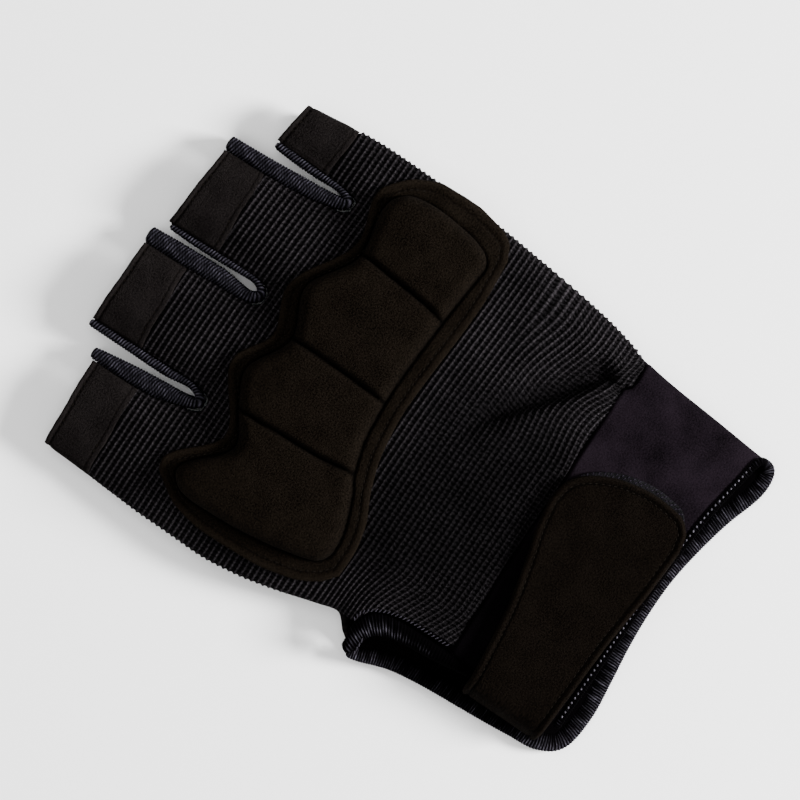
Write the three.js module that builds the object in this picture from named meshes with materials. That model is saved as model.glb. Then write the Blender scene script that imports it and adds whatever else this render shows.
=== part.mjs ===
import * as THREE from 'three';

// A right-hand fingerless glove, lying palm down. +Y points to the fingertips, -X to the thumb side.

// Driving sizes, in millimetres.
const knitThickness = 1.4;
const palmThickness = 1.8;
const hemThickness = 1.9;
const knitWrap = 0.7;
const hemProud = 0.45;
const cuffThickness = 2.0;
const patchThickness = 1.3;
const cellHeight = 5.2;
const strapThickness = 2.0;
const loopThickness = 0.9;
const seamGap = 0.35;
const seamShare = 0.42;
const crownPower = 3.1;
const palmFlatShare = 0.72;
const rimWidth = 3.6;
const rimThickness = 2.2;
const backRimWidth = 1.9;
const slitDip = 2.2;
const slitDipReach = 4.0;
const slitClosing = 1.4;
const patchLift = 0.45;
const tapeFloor = 0.5;
const tapeProud = 0.2;
const tapeBendHalf = 1.35;
const rimLift = 0.05;
const thumbRimProud = 0.3;
const thumbRimThickness = 1.8;
const grooveHalf = 0.55;
const cellCount = 4;
const loopLeft = -22;
const loopProud = 1.7;
const loopInset = 1.5;

// Places along the hand: the wrist seam, the top of the thumb hole, a line below every slit, and the
// mean line of the cuff's mouth. The centre of the outline is the part's own origin.
const seamY = -42.4;
const thumbTopY = -13;
const belowSlitsY = 30;
const mouthY = -78;
const cellMiddleY = 18;
const slitEdgeX = -41;
const originX = 0.35;
const originY = -2.94;

// How finely each piece is divided. The side shares crowd the columns where a panel turns at its
// edge, and the stations crowd the rows at the thumb hole.
const sideReach = 6;
const sideShares = [0, 0.02, 0.09, 0.25, 0.55, 1];
const handStations = [0, 0.06, 0.12, 0.17, 0.21, 0.245, 0.28, 0.315, 0.37, 0.46, 0.56, 0.67, 0.78, 0.89, 1];
const handRows = handStations.length - 1;
const slitSteps = 2;
const knitRows = 4;
const palmTipRows = 5;
const hemRows = 3;
const tapeSteps = 20;
const tapeSides = 8;
const patchSteps = { across: 25, along: 8 };
const loopSteps = { across: 9, along: 6 };
const strapSteps = { across: 13, along: 7 };
const cellSteps = 7;
const cuffRows = 6;
const cuffSteps = 13;
const bindingSteps = 54;
const bindingSides = 8;
const thumbSteps = 14;

// A padded cell: its upright side, how square its corners are, and how its top rounds over.
const cell = { side: 0.8, cornerX: 0.09, cornerY: 0.07, squareX: 4, squareY: 6, crown: 0.45, spread: 0.8 };

// The glove's outline and its height over the table, a row for each place along the hand.
const outline = [
  { y: -86, left: -47.0, right: 43.6, height: 9.8 },
  { y: -75, left: -47.9, right: 44.4, height: 10.2 },
  { y: -62.5, left: -49.2, right: 45.4, height: 10.8 },
  { y: -50, left: -50.1, right: 46.6, height: 11.4 },
  { y: -42, left: -50.6, right: 47.7, height: 12.0 },
  { y: -37.5, left: -51.1, right: 49.1, height: 12.4 },
  { y: -30, left: -52.4, right: 50.7, height: 12.8 },
  { y: -21.5, left: -55.5, right: 52.0, height: 13.2 },
  { y: -17, left: -51.0, right: 52.6, height: 13.4 },
  { y: -13, left: -47.4, right: 53.1, height: 13.5 },
  { y: -7.5, left: -48.8, right: 53.8, height: 13.6 },
  { y: 5, left: -52.3, right: 55.2, height: 13.8 },
  { y: 14, left: -54.0, right: 55.7, height: 13.8 },
  { y: 25, left: -55.0, right: 55.9, height: 13.6 },
  { y: 40, left: -55.0, right: 55.8, height: 12.8 },
  { y: 50, left: -54.6, right: 55.3, height: 12.2 },
  { y: 58, left: -54.2, right: 54.5, height: 11.6 },
  { y: 66, left: -53.9, right: 53.3, height: 11.0 },
  { y: 80, left: -52.4, right: 52.0, height: 10.2 },
];

// The tape that walls each slit between two fingers: its middle line and half its width on the
// left and on the right leg, and the bottom of its bend.
const gussets = [
  {
    name: 'finger_gusset_1',
    left: [
      { y: 48.5, x: -25.2, half: 1.75 },
      { y: 56, x: -26.7, half: 1.75 },
      { y: 65, x: -27.6, half: 1.6 },
      { y: 74.2, x: -28.2, half: 1.4 },
    ],
    right: [
      { y: 48.5, x: -21.2, half: 1.0 },
      { y: 56, x: -21.1, half: 1.0 },
      { y: 67, x: -21.5, half: 1.0 },
      { y: 78.9, x: -21.9, half: 1.0 },
    ],
    crotch: { x: -23.4, y: 44.6 },
  },
  {
    name: 'finger_gusset_2',
    left: [
      { y: 50, x: 5.4, half: 1.6 },
      { y: 58, x: 5.1, half: 1.75 },
      { y: 68, x: 4.7, half: 1.9 },
      { y: 79.2, x: 4.2, half: 2.0 },
    ],
    right: [
      { y: 50, x: 9.6, half: 0.9 },
      { y: 58, x: 9.8, half: 0.9 },
      { y: 66, x: 9.5, half: 0.9 },
      { y: 75.6, x: 9.1, half: 0.9 },
    ],
    crotch: { x: 7.5, y: 47.2 },
  },
  {
    name: 'finger_gusset_3',
    left: [
      { y: 45.5, x: 37.3, half: 1.6 },
      { y: 54, x: 36.0, half: 1.7 },
      { y: 64, x: 35.2, half: 1.8 },
      { y: 75.4, x: 34.7, half: 1.8 },
    ],
    right: [
      { y: 45.5, x: 40.5, half: 0.8 },
      { y: 52, x: 40.6, half: 0.9 },
      { y: 58, x: 40.7, half: 0.9 },
      { y: 65.1, x: 40.8, half: 0.9 },
    ],
    crotch: { x: 38.9, y: 41.8 },
  },
];

// Each finger's suede band, from its stitched edge to the finger mouth, at its left and right side.
const fingers = [
  { name: 'index', hemLeft: 58.0, hemRight: 59.4, tipLeft: 71.5, tipRight: 72.8, steps: 5 },
  { name: 'middle', hemLeft: 64.4, hemRight: 66.0, tipLeft: 78.8, tipRight: 78.5, steps: 5 },
  { name: 'ring', hemLeft: 61.9, hemRight: 63.1, tipLeft: 76.4, tipRight: 74.8, steps: 5 },
  { name: 'little', hemLeft: 50.0, hemRight: 49.6, tipLeft: 65.3, tipRight: 63.9, steps: 3 },
];

// Where the knit stops at the thumb hole, and the seam between the knit and the cuff.
const knitLeftEdge = [
  { y: -42.5, x: -38.4 },
  { y: -36, x: -38.6 },
  { y: -30, x: -39.1 },
  { y: -23, x: -40.4 },
  { y: -19.5, x: -43.2 },
  { y: -17.4, x: -47.2 },
  { y: -13, x: -47.4 },
];
const wristSeam = [
  { x: -50, y: -42.4 },
  { x: 10, y: -41.0 },
  { x: 20, y: -40.5 },
  { x: 29, y: -40.6 },
  { x: 40, y: -42.0 },
  { x: 48, y: -42.3 },
];

// The overlocked band round the back of the thumb hole, from its outer to its inner line.
const thumbBand = [
  { outerX: -53.4, outerY: -18.6, innerX: -55.2, innerY: -21.6 },
  { outerX: -47.6, outerY: -17.8, innerX: -50.6, innerY: -22.0 },
  { outerX: -43.6, outerY: -19.9, innerX: -47.8, innerY: -23.8 },
  { outerX: -40.8, outerY: -23.4, innerX: -46.3, innerY: -26.6 },
  { outerX: -39.5, outerY: -30.0, innerX: -44.7, innerY: -33.0 },
  { outerX: -39.0, outerY: -36.5, innerX: -44.4, innerY: -38.0 },
  { outerX: -38.8, outerY: -41.6, innerX: -44.6, innerY: -42.6 },
];

// The mouth of the cuff on the palm side and on the back, a row for each place across the wrist.
const palmMouth = [
  { x: -47.9, y: -73.0 },
  { x: -46.4, y: -76.8 },
  { x: -43.6, y: -79.5 },
  { x: -38, y: -80.8 },
  { x: -27.5, y: -80.0 },
  { x: -5, y: -77.9 },
  { x: 5, y: -78.1 },
  { x: 22.5, y: -80.9 },
  { x: 41, y: -85.4 },
  { x: 43.6, y: -84.6 },
];
const backMouth = [
  { x: -48, y: -75.3 },
  { x: 0, y: -75.8 },
  { x: 20, y: -76.7 },
  { x: 40, y: -79.7 },
  { x: 44, y: -80.2 },
];

// The knuckle patch: its upper edge with a scallop over each knuckle, its lower edge, and its ends.
const patchTop = [
  { x: -49.4, y: 37.5 },
  { x: -40, y: 44.4 },
  { x: -26.3, y: 34.6 },
  { x: -9.4, y: 43.8 },
  { x: 1.3, y: 38.8 },
  { x: 13, y: 42.5 },
  { x: 32.5, y: 34.0 },
  { x: 44.5, y: 37.0 },
  { x: 55.6, y: 32.0 },
];
const patchBottom = [
  { x: -45, y: -8.2 },
  { x: -34, y: -8.5 },
  { x: -26.3, y: -7.2 },
  { x: -17.5, y: -3.2 },
  { x: -8, y: -0.3 },
  { x: 4, y: 0.9 },
  { x: 35, y: -0.4 },
  { x: 52, y: 0.8 },
];
const patchEnds = [
  { v: 0.0, left: -39.5, right: 48.5 },
  { v: 0.06, left: -43.2, right: 52.4 },
  { v: 0.2, left: -46.6, right: 54.2 },
  { v: 0.45, left: -48.8, right: 55.2 },
  { v: 0.75, left: -49.3, right: 55.0 },
  { v: 0.92, left: -47.8, right: 52.6 },
  { v: 1.0, left: -43.0, right: 46.5 },
];

// The four padded cells: the grooves between them and their upper and lower edges.
const cellSides = [
  { y: -5, edge0: -38.5, edge1: -16.0, edge2: 2.2, edge3: 26.3, edge4: 45.0 },
  { y: 3, edge0: -40.9, edge1: -16.4, edge2: 2.3, edge3: 26.6, edge4: 46.5 },
  { y: 12, edge0: -42.8, edge1: -17.7, edge2: 2.7, edge3: 28.1, edge4: 49.2 },
  { y: 23, edge0: -44.1, edge1: -18.3, edge2: 3.0, edge3: 29.1, edge4: 50.1 },
  { y: 32, edge0: -44.4, edge1: -18.9, edge2: 3.0, edge3: 29.8, edge4: 48.6 },
  { y: 40, edge0: -43.0, edge1: -18.8, edge2: 3.0, edge3: 29.8, edge4: 46.4 },
];
const cellTop = [
  { x: -44.4, y: 38.6 },
  { x: -40, y: 39.9 },
  { x: -27, y: 30.9 },
  { x: -19, y: 35.5 },
  { x: -10, y: 39.5 },
  { x: 2.8, y: 34.2 },
  { x: 15, y: 38.6 },
  { x: 29.6, y: 31.6 },
  { x: 42, y: 33.4 },
  { x: 49.5, y: 31.6 },
];
const cellBottom = [
  { x: -43, y: -3.4 },
  { x: -34, y: -3.8 },
  { x: -21.3, y: 0.0 },
  { x: -16.9, y: 2.5 },
  { x: -5, y: 5.6 },
  { x: 8, y: 6.3 },
  { x: 26.5, y: 5.5 },
  { x: 45, y: 4.0 },
];

// The wrist strap and the loop patch under it: upper and lower edges and the round end.
const strapTop = [
  { x: -48, y: -50.4 },
  { x: -30, y: -49.4 },
  { x: -20, y: -48.0 },
  { x: -10, y: -45.0 },
  { x: 6, y: -42.4 },
  { x: 21, y: -42.4 },
];
const strapBottom = [
  { x: -48, y: -71.6 },
  { x: -32, y: -71.6 },
  { x: -17.5, y: -72.6 },
  { x: 0, y: -74.6 },
  { x: 21, y: -75.4 },
];
const strapEnds = [
  { v: 0.0, left: -46.6, right: 12.5 },
  { v: 0.05, left: -46.6, right: 17.6 },
  { v: 0.17, left: -46.6, right: 20.3 },
  { v: 0.4, left: -46.6, right: 20.6 },
  { v: 0.62, left: -46.6, right: 19.9 },
  { v: 0.8, left: -46.6, right: 18.0 },
  { v: 0.92, left: -46.6, right: 14.2 },
  { v: 1.0, left: -46.6, right: 8.0 },
];

// The row of points across the hand where the slits end, apart from the slits' own bends.
const crotchEnds = [
  { x: -56, y: 43.5 },
  { x: -27, y: 42.6 },
  { x: 56, y: 39.5 },
];

// The bound edge where it turns round the little-finger side of the mouth, from the back to the
// palm, at the corner on the thumb side, and where it ends below the thumb.
const bindingTurn = [
  { x: 41.4, y: -80.0, z: 7.6, half: 0.95 },
  { x: 42.6, y: -81.5, z: 5.2, half: 1.2 },
  { x: 41.4, y: -83.6, z: 2.4, half: 1.5 },
];
const bindingCorner = { x: -42, y: -77.6, z: 1.6, half: 1.8 };
const bindingEnd = { x: -54.0, y: -23.4, z: 4.0, half: 1.2 };

// The fold that starts in a pucker at the wrist seam and fades across the back.
const fold = { x: 39.4, y: -39.5, toX: 4, toY: -16, ridge: 1.5, groove: 1.3, width: 2.6 };

// One column of a table, read smoothly and without overshoot at a place along its key column.
function read(table, key, at, column) {
  const last = table.length - 1;
  if (at <= table[0][key]) return table[0][column];
  if (at >= table[last][key]) return table[last][column];
  let row = 0;
  while (table[row + 1][key] < at) row += 1;
  const secant = (i) => {
    if (i < 0 || i >= last) return null;
    return (table[i + 1][column] - table[i][column]) / (table[i + 1][key] - table[i][key]);
  };
  const slope = (i) => {
    const before = secant(i - 1);
    const after = secant(i);
    if (before === null || after === null) return before ?? after;
    return before * after <= 0 ? 0 : (2 * before * after) / (before + after);
  };
  const span = table[row + 1][key] - table[row][key];
  const t = (at - table[row][key]) / span;
  const rise = 3 * t * t - 2 * t * t * t;
  const start = t * t * t - 2 * t * t + t;
  const end = t * t * t - t * t;
  return (
    table[row][column] * (1 - rise) +
    table[row + 1][column] * rise +
    slope(row) * start * span +
    slope(row + 1) * end * span
  );
}

const upwards = new THREE.Vector3(0, 0, 1);
const lerp = THREE.MathUtils.lerp;
const clamp = THREE.MathUtils.clamp;
const smoothstep = THREE.MathUtils.smoothstep;

// The edges of the panels along a slit: the tape's outer edges with a seam gap, closing at the bend.
function slitEdge(gusset, side, y) {
  const leg = gusset[side];
  const sign = side === 'left' ? -1 : 1;
  const away = (at) => read(leg, 'y', at, 'x') + sign * (read(leg, 'y', at, 'half') + seamGap);
  const bend = leg[0].y;
  if (y >= bend) return away(y);
  const bottom = gusset.crotch.y - gusset.left[0].half - seamGap;
  const share = clamp((y - bottom) / (bend - bottom), 0, 1);
  const closed = gusset.crotch.x + sign * slitClosing;
  return lerp(closed, away(bend), Math.sqrt(share * (2 - share)));
}

// The height of the outer face on the back: a flattened arch from seam to seam.
function arch(x, y) {
  const left = read(outline, 'y', y, 'left');
  const right = read(outline, 'y', y, 'right');
  const height = read(outline, 'y', y, 'height');
  const out = clamp(Math.abs((2 * x - left - right) / (right - left)), 0, 1);
  const rise = Math.pow(1 - Math.pow(out, crownPower), 1 / crownPower);
  return height * (seamShare + (1 - seamShare) * rise);
}

function foldHeight(x, y) {
  const length = Math.hypot(fold.toX - fold.x, fold.toY - fold.y);
  const dx = (fold.toX - fold.x) / length;
  const dy = (fold.toY - fold.y) / length;
  const along = (x - fold.x) * dx + (y - fold.y) * dy;
  const across = (x - fold.x) * dy - (y - fold.y) * dx;
  const strength = smoothstep(along, -4, 3) * (1 - smoothstep(along, length * 0.4, length));
  const bump = (centre) => Math.exp(-(((across - centre) / fold.width) ** 2));
  return strength * (fold.ridge * bump(-fold.width) - fold.groove * bump(fold.width * 0.6));
}

function backHeight(x, y) {
  let height = arch(x, y) + foldHeight(x, y);
  for (const gusset of gussets) {
    const left = slitEdge(gusset, 'left', y);
    const right = slitEdge(gusset, 'right', y);
    const off = Math.max(left - x, x - right, 0) / slitDipReach;
    const reach = smoothstep(y, gusset.crotch.y - 10, gusset.crotch.y + 8);
    height -= slitDip * reach * Math.exp(-off * off);
  }
  return height;
}

// The palm lies flat on the table and turns up at its two edges.
function palmHeight(x, y) {
  const left = read(outline, 'y', y, 'left');
  const right = read(outline, 'y', y, 'right');
  const height = read(outline, 'y', y, 'height');
  const out = clamp(Math.abs((2 * x - left - right) / (right - left)), 0, 1);
  const turn = Math.max(0, (out - palmFlatShare) / (1 - palmFlatShare));
  return height * seamShare * (1 - Math.pow(1 - Math.pow(turn, crownPower), 1 / crownPower));
}

const onBack = (x, y) => new THREE.Vector3(x, y, backHeight(x, y));
const onPalm = (x, y) => new THREE.Vector3(x, y, palmHeight(x, y));

// A closed cloth solid from rows of points on its face. Its outer face stands proud of the points
// and its inner face lies below them, both along the face's own normals. Quads can be left out.
function clothSolid(rows, proud, deep, leftOut = () => false) {
  const across = rows[0].length;
  const normals = rows.map((row) => row.map(() => new THREE.Vector3()));
  const quads = [];
  for (let j = 0; j < rows.length - 1; j += 1) {
    for (let i = 0; i < across - 1; i += 1) {
      if (leftOut(i, j)) continue;
      quads.push([i, j]);
      const side = new THREE.Vector3().subVectors(rows[j + 1][i + 1], rows[j][i]);
      const other = new THREE.Vector3().subVectors(rows[j + 1][i], rows[j][i + 1]);
      const normal = side.cross(other);
      for (const [a, b] of [[i, j], [i + 1, j], [i, j + 1], [i + 1, j + 1]]) {
        normals[b][a].add(normal);
      }
    }
  }
  const positions = [];
  const index = [];
  const places = new Map();
  const point = (i, j, face) => {
    const name = `${i} ${j} ${face}`;
    if (!places.has(name)) {
      const normal = normals[j][i].clone().normalize();
      const at = rows[j][i].clone().addScaledVector(normal, face === 'outer' ? proud : -deep);
      places.set(name, positions.length / 3);
      positions.push(at.x, at.y, at.z);
    }
    return places.get(name);
  };
  const quad = (a, b, c, d) => index.push(a, b, c, a, c, d);
  const there = new Set(quads.map(([i, j]) => `${i} ${j}`));
  for (const [i, j] of quads) {
    const corners = [[i, j], [i + 1, j], [i + 1, j + 1], [i, j + 1]];
    quad(...corners.map(([a, b]) => point(a, b, 'outer')));
    quad(...corners.reverse().map(([a, b]) => point(a, b, 'inner')));
    const rim = (ai, aj, bi, bj) => {
      const near = [point(ai, aj, 'outer'), point(ai, aj, 'inner')];
      quad(...near, point(bi, bj, 'inner'), point(bi, bj, 'outer'));
    };
    if (!there.has(`${i} ${j - 1}`)) rim(i, j, i + 1, j);
    if (!there.has(`${i + 1} ${j}`)) rim(i + 1, j, i + 1, j + 1);
    if (!there.has(`${i} ${j + 1}`)) rim(i + 1, j + 1, i, j + 1);
    if (!there.has(`${i - 1} ${j}`)) rim(i, j + 1, i, j);
  }
  const geometry = new THREE.BufferGeometry();
  geometry.setAttribute('position', new THREE.Float32BufferAttribute(positions, 3));
  geometry.setIndex(index);
  geometry.computeVertexNormals();
  return geometry;
}

// A closed solid lofted through rings of points, with a flat end on the first and the last ring.
function loft(rings) {
  const around = rings[0].length;
  const positions = [];
  const index = [];
  for (const ring of rings) for (const at of ring) positions.push(at.x, at.y, at.z);
  for (let j = 0; j < rings.length - 1; j += 1) {
    for (let i = 0; i < around; i += 1) {
      const next = (i + 1) % around;
      const a = j * around + i;
      const b = j * around + next;
      index.push(a, b, b + around, a, b + around, a + around);
    }
  }
  const last = (rings.length - 1) * around;
  for (let i = 1; i < around - 1; i += 1) {
    index.push(0, i + 1, i);
    index.push(last, last + i, last + i + 1);
  }
  const geometry = new THREE.BufferGeometry();
  geometry.setAttribute('position', new THREE.Float32BufferAttribute(positions, 3));
  geometry.setIndex(index);
  geometry.computeVertexNormals();
  return geometry;
}

// An oval ring across a path: width runs in the given sideways direction and depth along up.
function ovalRing(centre, sideways, up, halfWidth, halfDepth, sides, power = 2) {
  const ring = [];
  const swell = (value) => Math.sign(value) * Math.pow(Math.abs(value), 2 / power);
  for (let i = 0; i < sides; i += 1) {
    const angle = (2 * Math.PI * (i + 0.5)) / sides;
    const at = centre.clone();
    at.addScaledVector(sideways, halfWidth * swell(Math.cos(angle)));
    at.addScaledVector(up, halfDepth * swell(Math.sin(angle)));
    ring.push(at);
  }
  return ring;
}

const parts = [];
function add(name, geometry, colour, roughness) {
  const material = new THREE.MeshStandardMaterial({ color: colour, roughness, metalness: 0 });
  const mesh = new THREE.Mesh(geometry, material);
  mesh.name = name;
  mesh.position.set(-originX, -originY, 0);
  parts.push(mesh);
}
const suedeColour = 0x1d1b1a;
const knitColour = 0x17171b;
const tapeColour = 0x2a2930;
const cuffColour = 0x1b1a20;

// The columns of a panel across the hand: a finger or slit number, and how far across it.
function handColumns() {
  const columns = [];
  fingers.forEach((finger, k) => {
    for (let i = 1; i < finger.steps; i += 1) columns.push({ finger: k, share: i / finger.steps });
    if (k === 0) columns.unshift({ finger: k, share: 0 });
    if (k < gussets.length) {
      for (let i = 0; i <= slitSteps; i += 1) columns.push({ slit: k, share: i / slitSteps });
    } else {
      columns.push({ finger: k, share: 1 });
    }
  });
  return columns;
}

// Where a column stands at a place along the hand, between the panel's own left and right ends.
function columnX(column, y, leftEnd, rightEnd) {
  if (column.slit !== undefined) {
    const gusset = gussets[column.slit];
    return lerp(slitEdge(gusset, 'left', y), slitEdge(gusset, 'right', y), column.share);
  }
  const k = column.finger;
  const from = k === 0 ? leftEnd : slitEdge(gussets[k - 1], 'right', y);
  const to = k === gussets.length ? rightEnd : slitEdge(gussets[k], 'left', y);
  return lerp(from, to, column.share);
}

const crotchLine = [
  ...crotchEnds,
  ...gussets.map(({ crotch, left }) => ({ x: crotch.x, y: crotch.y - left[0].half - seamGap })),
].sort((a, b) => a.x - b.x);
const crotchY = (x) => read(crotchLine, 'x', x, 'y');

// A line across one finger: where its suede band starts or its tip ends.
function acrossFinger(k, share, key) {
  return lerp(fingers[k][`${key}Left`], fingers[k][`${key}Right`], share);
}

const outlineLeft = (y) => read(outline, 'y', y, 'left');
const outlineRight = (y) => read(outline, 'y', y, 'right');
const knitLeft = (y) => (y > thumbTopY ? outlineLeft(y) : read(knitLeftEdge, 'y', y, 'x'));

const columns = handColumns();
const edgeShares = sideShares.slice(0, -1);
const edgeSharesBack = [...edgeShares].reverse();

// Whether the grid cell right of a panel's column lies in a slit.
const inSlit = (i) => {
  const column = columns[i - edgeShares.length];
  return column !== undefined && column.slit !== undefined && column.share < 1;
};

// Where a column stands along the hand in row j: from the wrist up to the line of the slits' ends,
// and on up its finger, where a slit's two sides follow the fingers beside it.
function columnY(column, j, low, edge, overlap, fingerRows) {
  const middle = crotchY(columnX(column, belowSlitsY, outline[0].left, outline[0].right));
  if (j <= handRows) return lerp(low, middle, handStations[j]);
  const slitSide = column.share > 0 ? 1 : 0;
  const k = column.finger ?? column.slit + slitSide;
  const share = column.finger === undefined ? 1 - slitSide : column.share;
  return lerp(middle, acrossFinger(k, share, edge) - overlap, (j - handRows) / fingerRows);
}

function backPanel() {
  const rows = [];
  for (let j = 0; j <= handRows + knitRows; j += 1) {
    const row = [];
    const place = (column) => {
      const seamX = columnX(column, seamY, knitLeft(seamY) + sideReach, outlineRight(seamY) - sideReach);
      const low = read(wristSeam, 'x', seamX, 'y') + seamGap / 2;
      return columnY(column, j, low, 'hem', seamGap, knitRows);
    };
    const leftY = place(columns[0]);
    edgeShares.forEach((share) => row.push(onBack(knitLeft(leftY) + sideReach * share, leftY)));
    if (leftY > thumbTopY) row[0].z += seamGap / 2;
    columns.forEach((column) => {
      const y = place(column);
      const rightEnd = outlineRight(y) - sideReach;
      row.push(onBack(columnX(column, y, knitLeft(y) + sideReach, rightEnd), y));
    });
    const rightY = place(columns.at(-1));
    const right = outlineRight(rightY);
    edgeSharesBack.forEach((share) => row.push(onBack(right - sideReach * share, rightY)));
    row.push(onPalm(right - rimLift, rightY));
    row.push(onPalm(right - knitWrap, rightY));
    rows.push(row);
  }
  return clothSolid(rows, 0, knitThickness, (i, j) => j >= handRows && inSlit(i));
}

// A suede band over the back of one finger's mouth. The first and the last finger's bands also turn
// down at the side of the hand.
function fingerHem(k) {
  const finger = fingers[k];
  const rows = [];
  for (let j = 0; j <= hemRows; j += 1) {
    const row = [];
    const yAt = (share) => {
      return lerp(acrossFinger(k, share, 'hem'), acrossFinger(k, share, 'tip'), j / hemRows);
    };
    if (k === 0) {
      const left = outlineLeft(yAt(0)) + hemProud;
      edgeShares.forEach((share) => row.push(onBack(left + sideReach * share, yAt(0))));
      row[0].z += seamGap;
    }
    for (let i = 0; i <= finger.steps; i += 1) {
      const share = i / finger.steps;
      const y = yAt(share);
      const column = { finger: k, share };
      row.push(onBack(columnX(column, y, outlineLeft(y) + sideReach, outlineRight(y) - sideReach), y));
    }
    if (k === fingers.length - 1) {
      const right = outlineRight(yAt(1)) - hemProud;
      edgeSharesBack.forEach((share) => row.push(onBack(right - sideReach * share, yAt(1))));
      row.at(-1).z += seamGap;
    }
    rows.push(row);
  }
  return clothSolid(rows, hemProud, hemThickness - hemProud);
}

// The palm's own ends: on the left the outline, or clear of the bound edge below the thumb hole, and
// on the right clear of the knit that wraps under it.
const boundTop = { from: -21, to: -15 };
function palmLeft(y) {
  const bound = 1 - smoothstep(y, boundTop.from, boundTop.to);
  return outlineLeft(y) + bound * (rimWidth + 2 * seamGap);
}
const palmRight = (y) => outlineRight(y) - knitWrap - 2 * seamGap;

function palmPanel() {
  const rows = [];
  for (let j = 0; j <= handRows + palmTipRows; j += 1) {
    const place = (column) => columnY(column, j, seamY + seamGap / 2, 'tip', hemProud, palmTipRows);
    const row = [];
    const leftY = place(columns[0]);
    edgeShares.forEach((share) => row.push(onPalm(palmLeft(leftY) + sideReach * share, leftY)));
    row[0].z -= seamGap / 2;
    columns.forEach((column) => {
      const y = place(column);
      row.push(onPalm(columnX(column, y, palmLeft(y) + sideReach, palmRight(y) - sideReach), y));
    });
    const rightY = place(columns.at(-1));
    edgeSharesBack.forEach((share) => {
      row.push(onPalm(palmRight(rightY) - sideReach * share, rightY));
    });
    rows.push(row.reverse());
  }
  const lastCell = rows[0].length - 2;
  return clothSolid(rows, 0, palmThickness, (i, j) => j >= handRows && inSlit(lastCell - i));
}

function gussetTape(gusset) {
  const down = [...gusset.left].reverse();
  const stops = [...down, { ...gusset.crotch, half: tapeBendHalf }, ...gusset.right];
  const points = stops.map((stop) => new THREE.Vector3(stop.x, stop.y, stop.half));
  const curve = new THREE.CatmullRomCurve3(points);
  const rings = [];
  for (let j = 0; j <= tapeSteps; j += 1) {
    const at = curve.getPointAt(j / tapeSteps);
    const tangent = curve.getTangentAt(j / tapeSteps);
    const sideways = new THREE.Vector3(tangent.y, -tangent.x, 0).normalize();
    const top = backHeight(at.x, at.y) + tapeProud;
    const centre = new THREE.Vector3(at.x, at.y, (top + tapeFloor) / 2);
    rings.push(ovalRing(centre, upwards, sideways, (top - tapeFloor) / 2, at.z, tapeSides, 3));
  }
  return loft(rings);
}

// A sheet that lies on the back, lifted off it, between its lower and upper edge and its two ends.
function laidSheet(ends, edges, lift, thickness, steps) {
  const rows = [];
  for (let j = 0; j <= steps.along; j += 1) {
    const v = (1 - Math.cos((Math.PI * j) / steps.along)) / 2;
    const row = [];
    for (let i = 0; i <= steps.across; i += 1) {
      const x = lerp(read(ends, 'v', v, 'left'), read(ends, 'v', v, 'right'), i / steps.across);
      row.push(onBack(x, lerp(edges.bottom(x), edges.top(x), v)));
    }
    rows.push(row);
  }
  return clothSolid(rows, lift + thickness, -lift);
}

const patchEdges = {
  top: (x) => read(patchTop, 'x', x, 'y'),
  bottom: (x) => read(patchBottom, 'x', x, 'y'),
};

// One padded cell on the patch: its outline follows the grooves beside it and its two edges.
function knuckleCell(k) {
  const rows = [];
  const base = patchLift + patchThickness + seamGap;
  const lifts = [];
  const inset = (share) => Math.sign(share) * Math.abs(share) ** cell.spread;
  for (let j = 0; j <= cellSteps; j += 1) {
    const row = [];
    const liftRow = [];
    for (let i = 0; i <= cellSteps; i += 1) {
      const u = inset((2 * i) / cellSteps - 1);
      const v = inset((2 * j) / cellSteps - 1);
      const cornerU = u * (1 - cell.cornerX * v ** cell.squareY);
      const cornerV = v * (1 - cell.cornerY * u ** cell.squareY);
      let x = 0;
      let y = cellMiddleY;
      for (let pass = 0; pass < 4; pass += 1) {
        const left = read(cellSides, 'y', y, `edge${k}`) + grooveHalf;
        const right = read(cellSides, 'y', y, `edge${k + 1}`) - grooveHalf;
        x = lerp(left, right, (cornerU + 1) / 2);
        y = lerp(read(cellBottom, 'x', x, 'y'), read(cellTop, 'x', x, 'y'), (cornerV + 1) / 2);
      }
      row.push(onBack(x, y));
      const round = Math.max(0, 1 - u ** cell.squareX) * Math.max(0, 1 - v ** cell.squareY);
      liftRow.push(base + lerp(cell.side, cellHeight, round ** cell.crown));
    }
    rows.push(row);
    lifts.push(liftRow);
  }
  return domedSolid(rows, lifts, base);
}

// A closed pad from rows of points: its top stands off them by its own height at each point.
function domedSolid(rows, lifts, base) {
  const across = rows[0].length;
  const count = rows.length * across;
  const positions = [];
  const index = [];
  rows.forEach((row, j) => row.forEach((at, i) => positions.push(at.x, at.y, at.z + lifts[j][i])));
  rows.forEach((row) => row.forEach((at) => positions.push(at.x, at.y, at.z + base)));
  const quad = (a, b, c, d) => index.push(a, b, c, a, c, d);
  for (let j = 0; j < rows.length - 1; j += 1) {
    for (let i = 0; i < across - 1; i += 1) {
      const a = j * across + i;
      quad(a, a + 1, a + 1 + across, a + across);
      quad(a + count, a + across + count, a + 1 + across + count, a + 1 + count);
    }
  }
  const rim = [];
  for (let i = 0; i < across - 1; i += 1) rim.push(i);
  for (let j = 0; j < rows.length - 1; j += 1) rim.push(j * across + across - 1);
  for (let i = across - 1; i > 0; i -= 1) rim.push((rows.length - 1) * across + i);
  for (let j = rows.length - 1; j > 0; j -= 1) rim.push(j * across);
  rim.forEach((a, n) => {
    const b = rim[(n + 1) % rim.length];
    quad(a, a + count, b + count, b);
  });
  const geometry = new THREE.BufferGeometry();
  geometry.setAttribute('position', new THREE.Float32BufferAttribute(positions, 3));
  geometry.setIndex(index);
  geometry.computeVertexNormals();
  return geometry;
}

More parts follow.
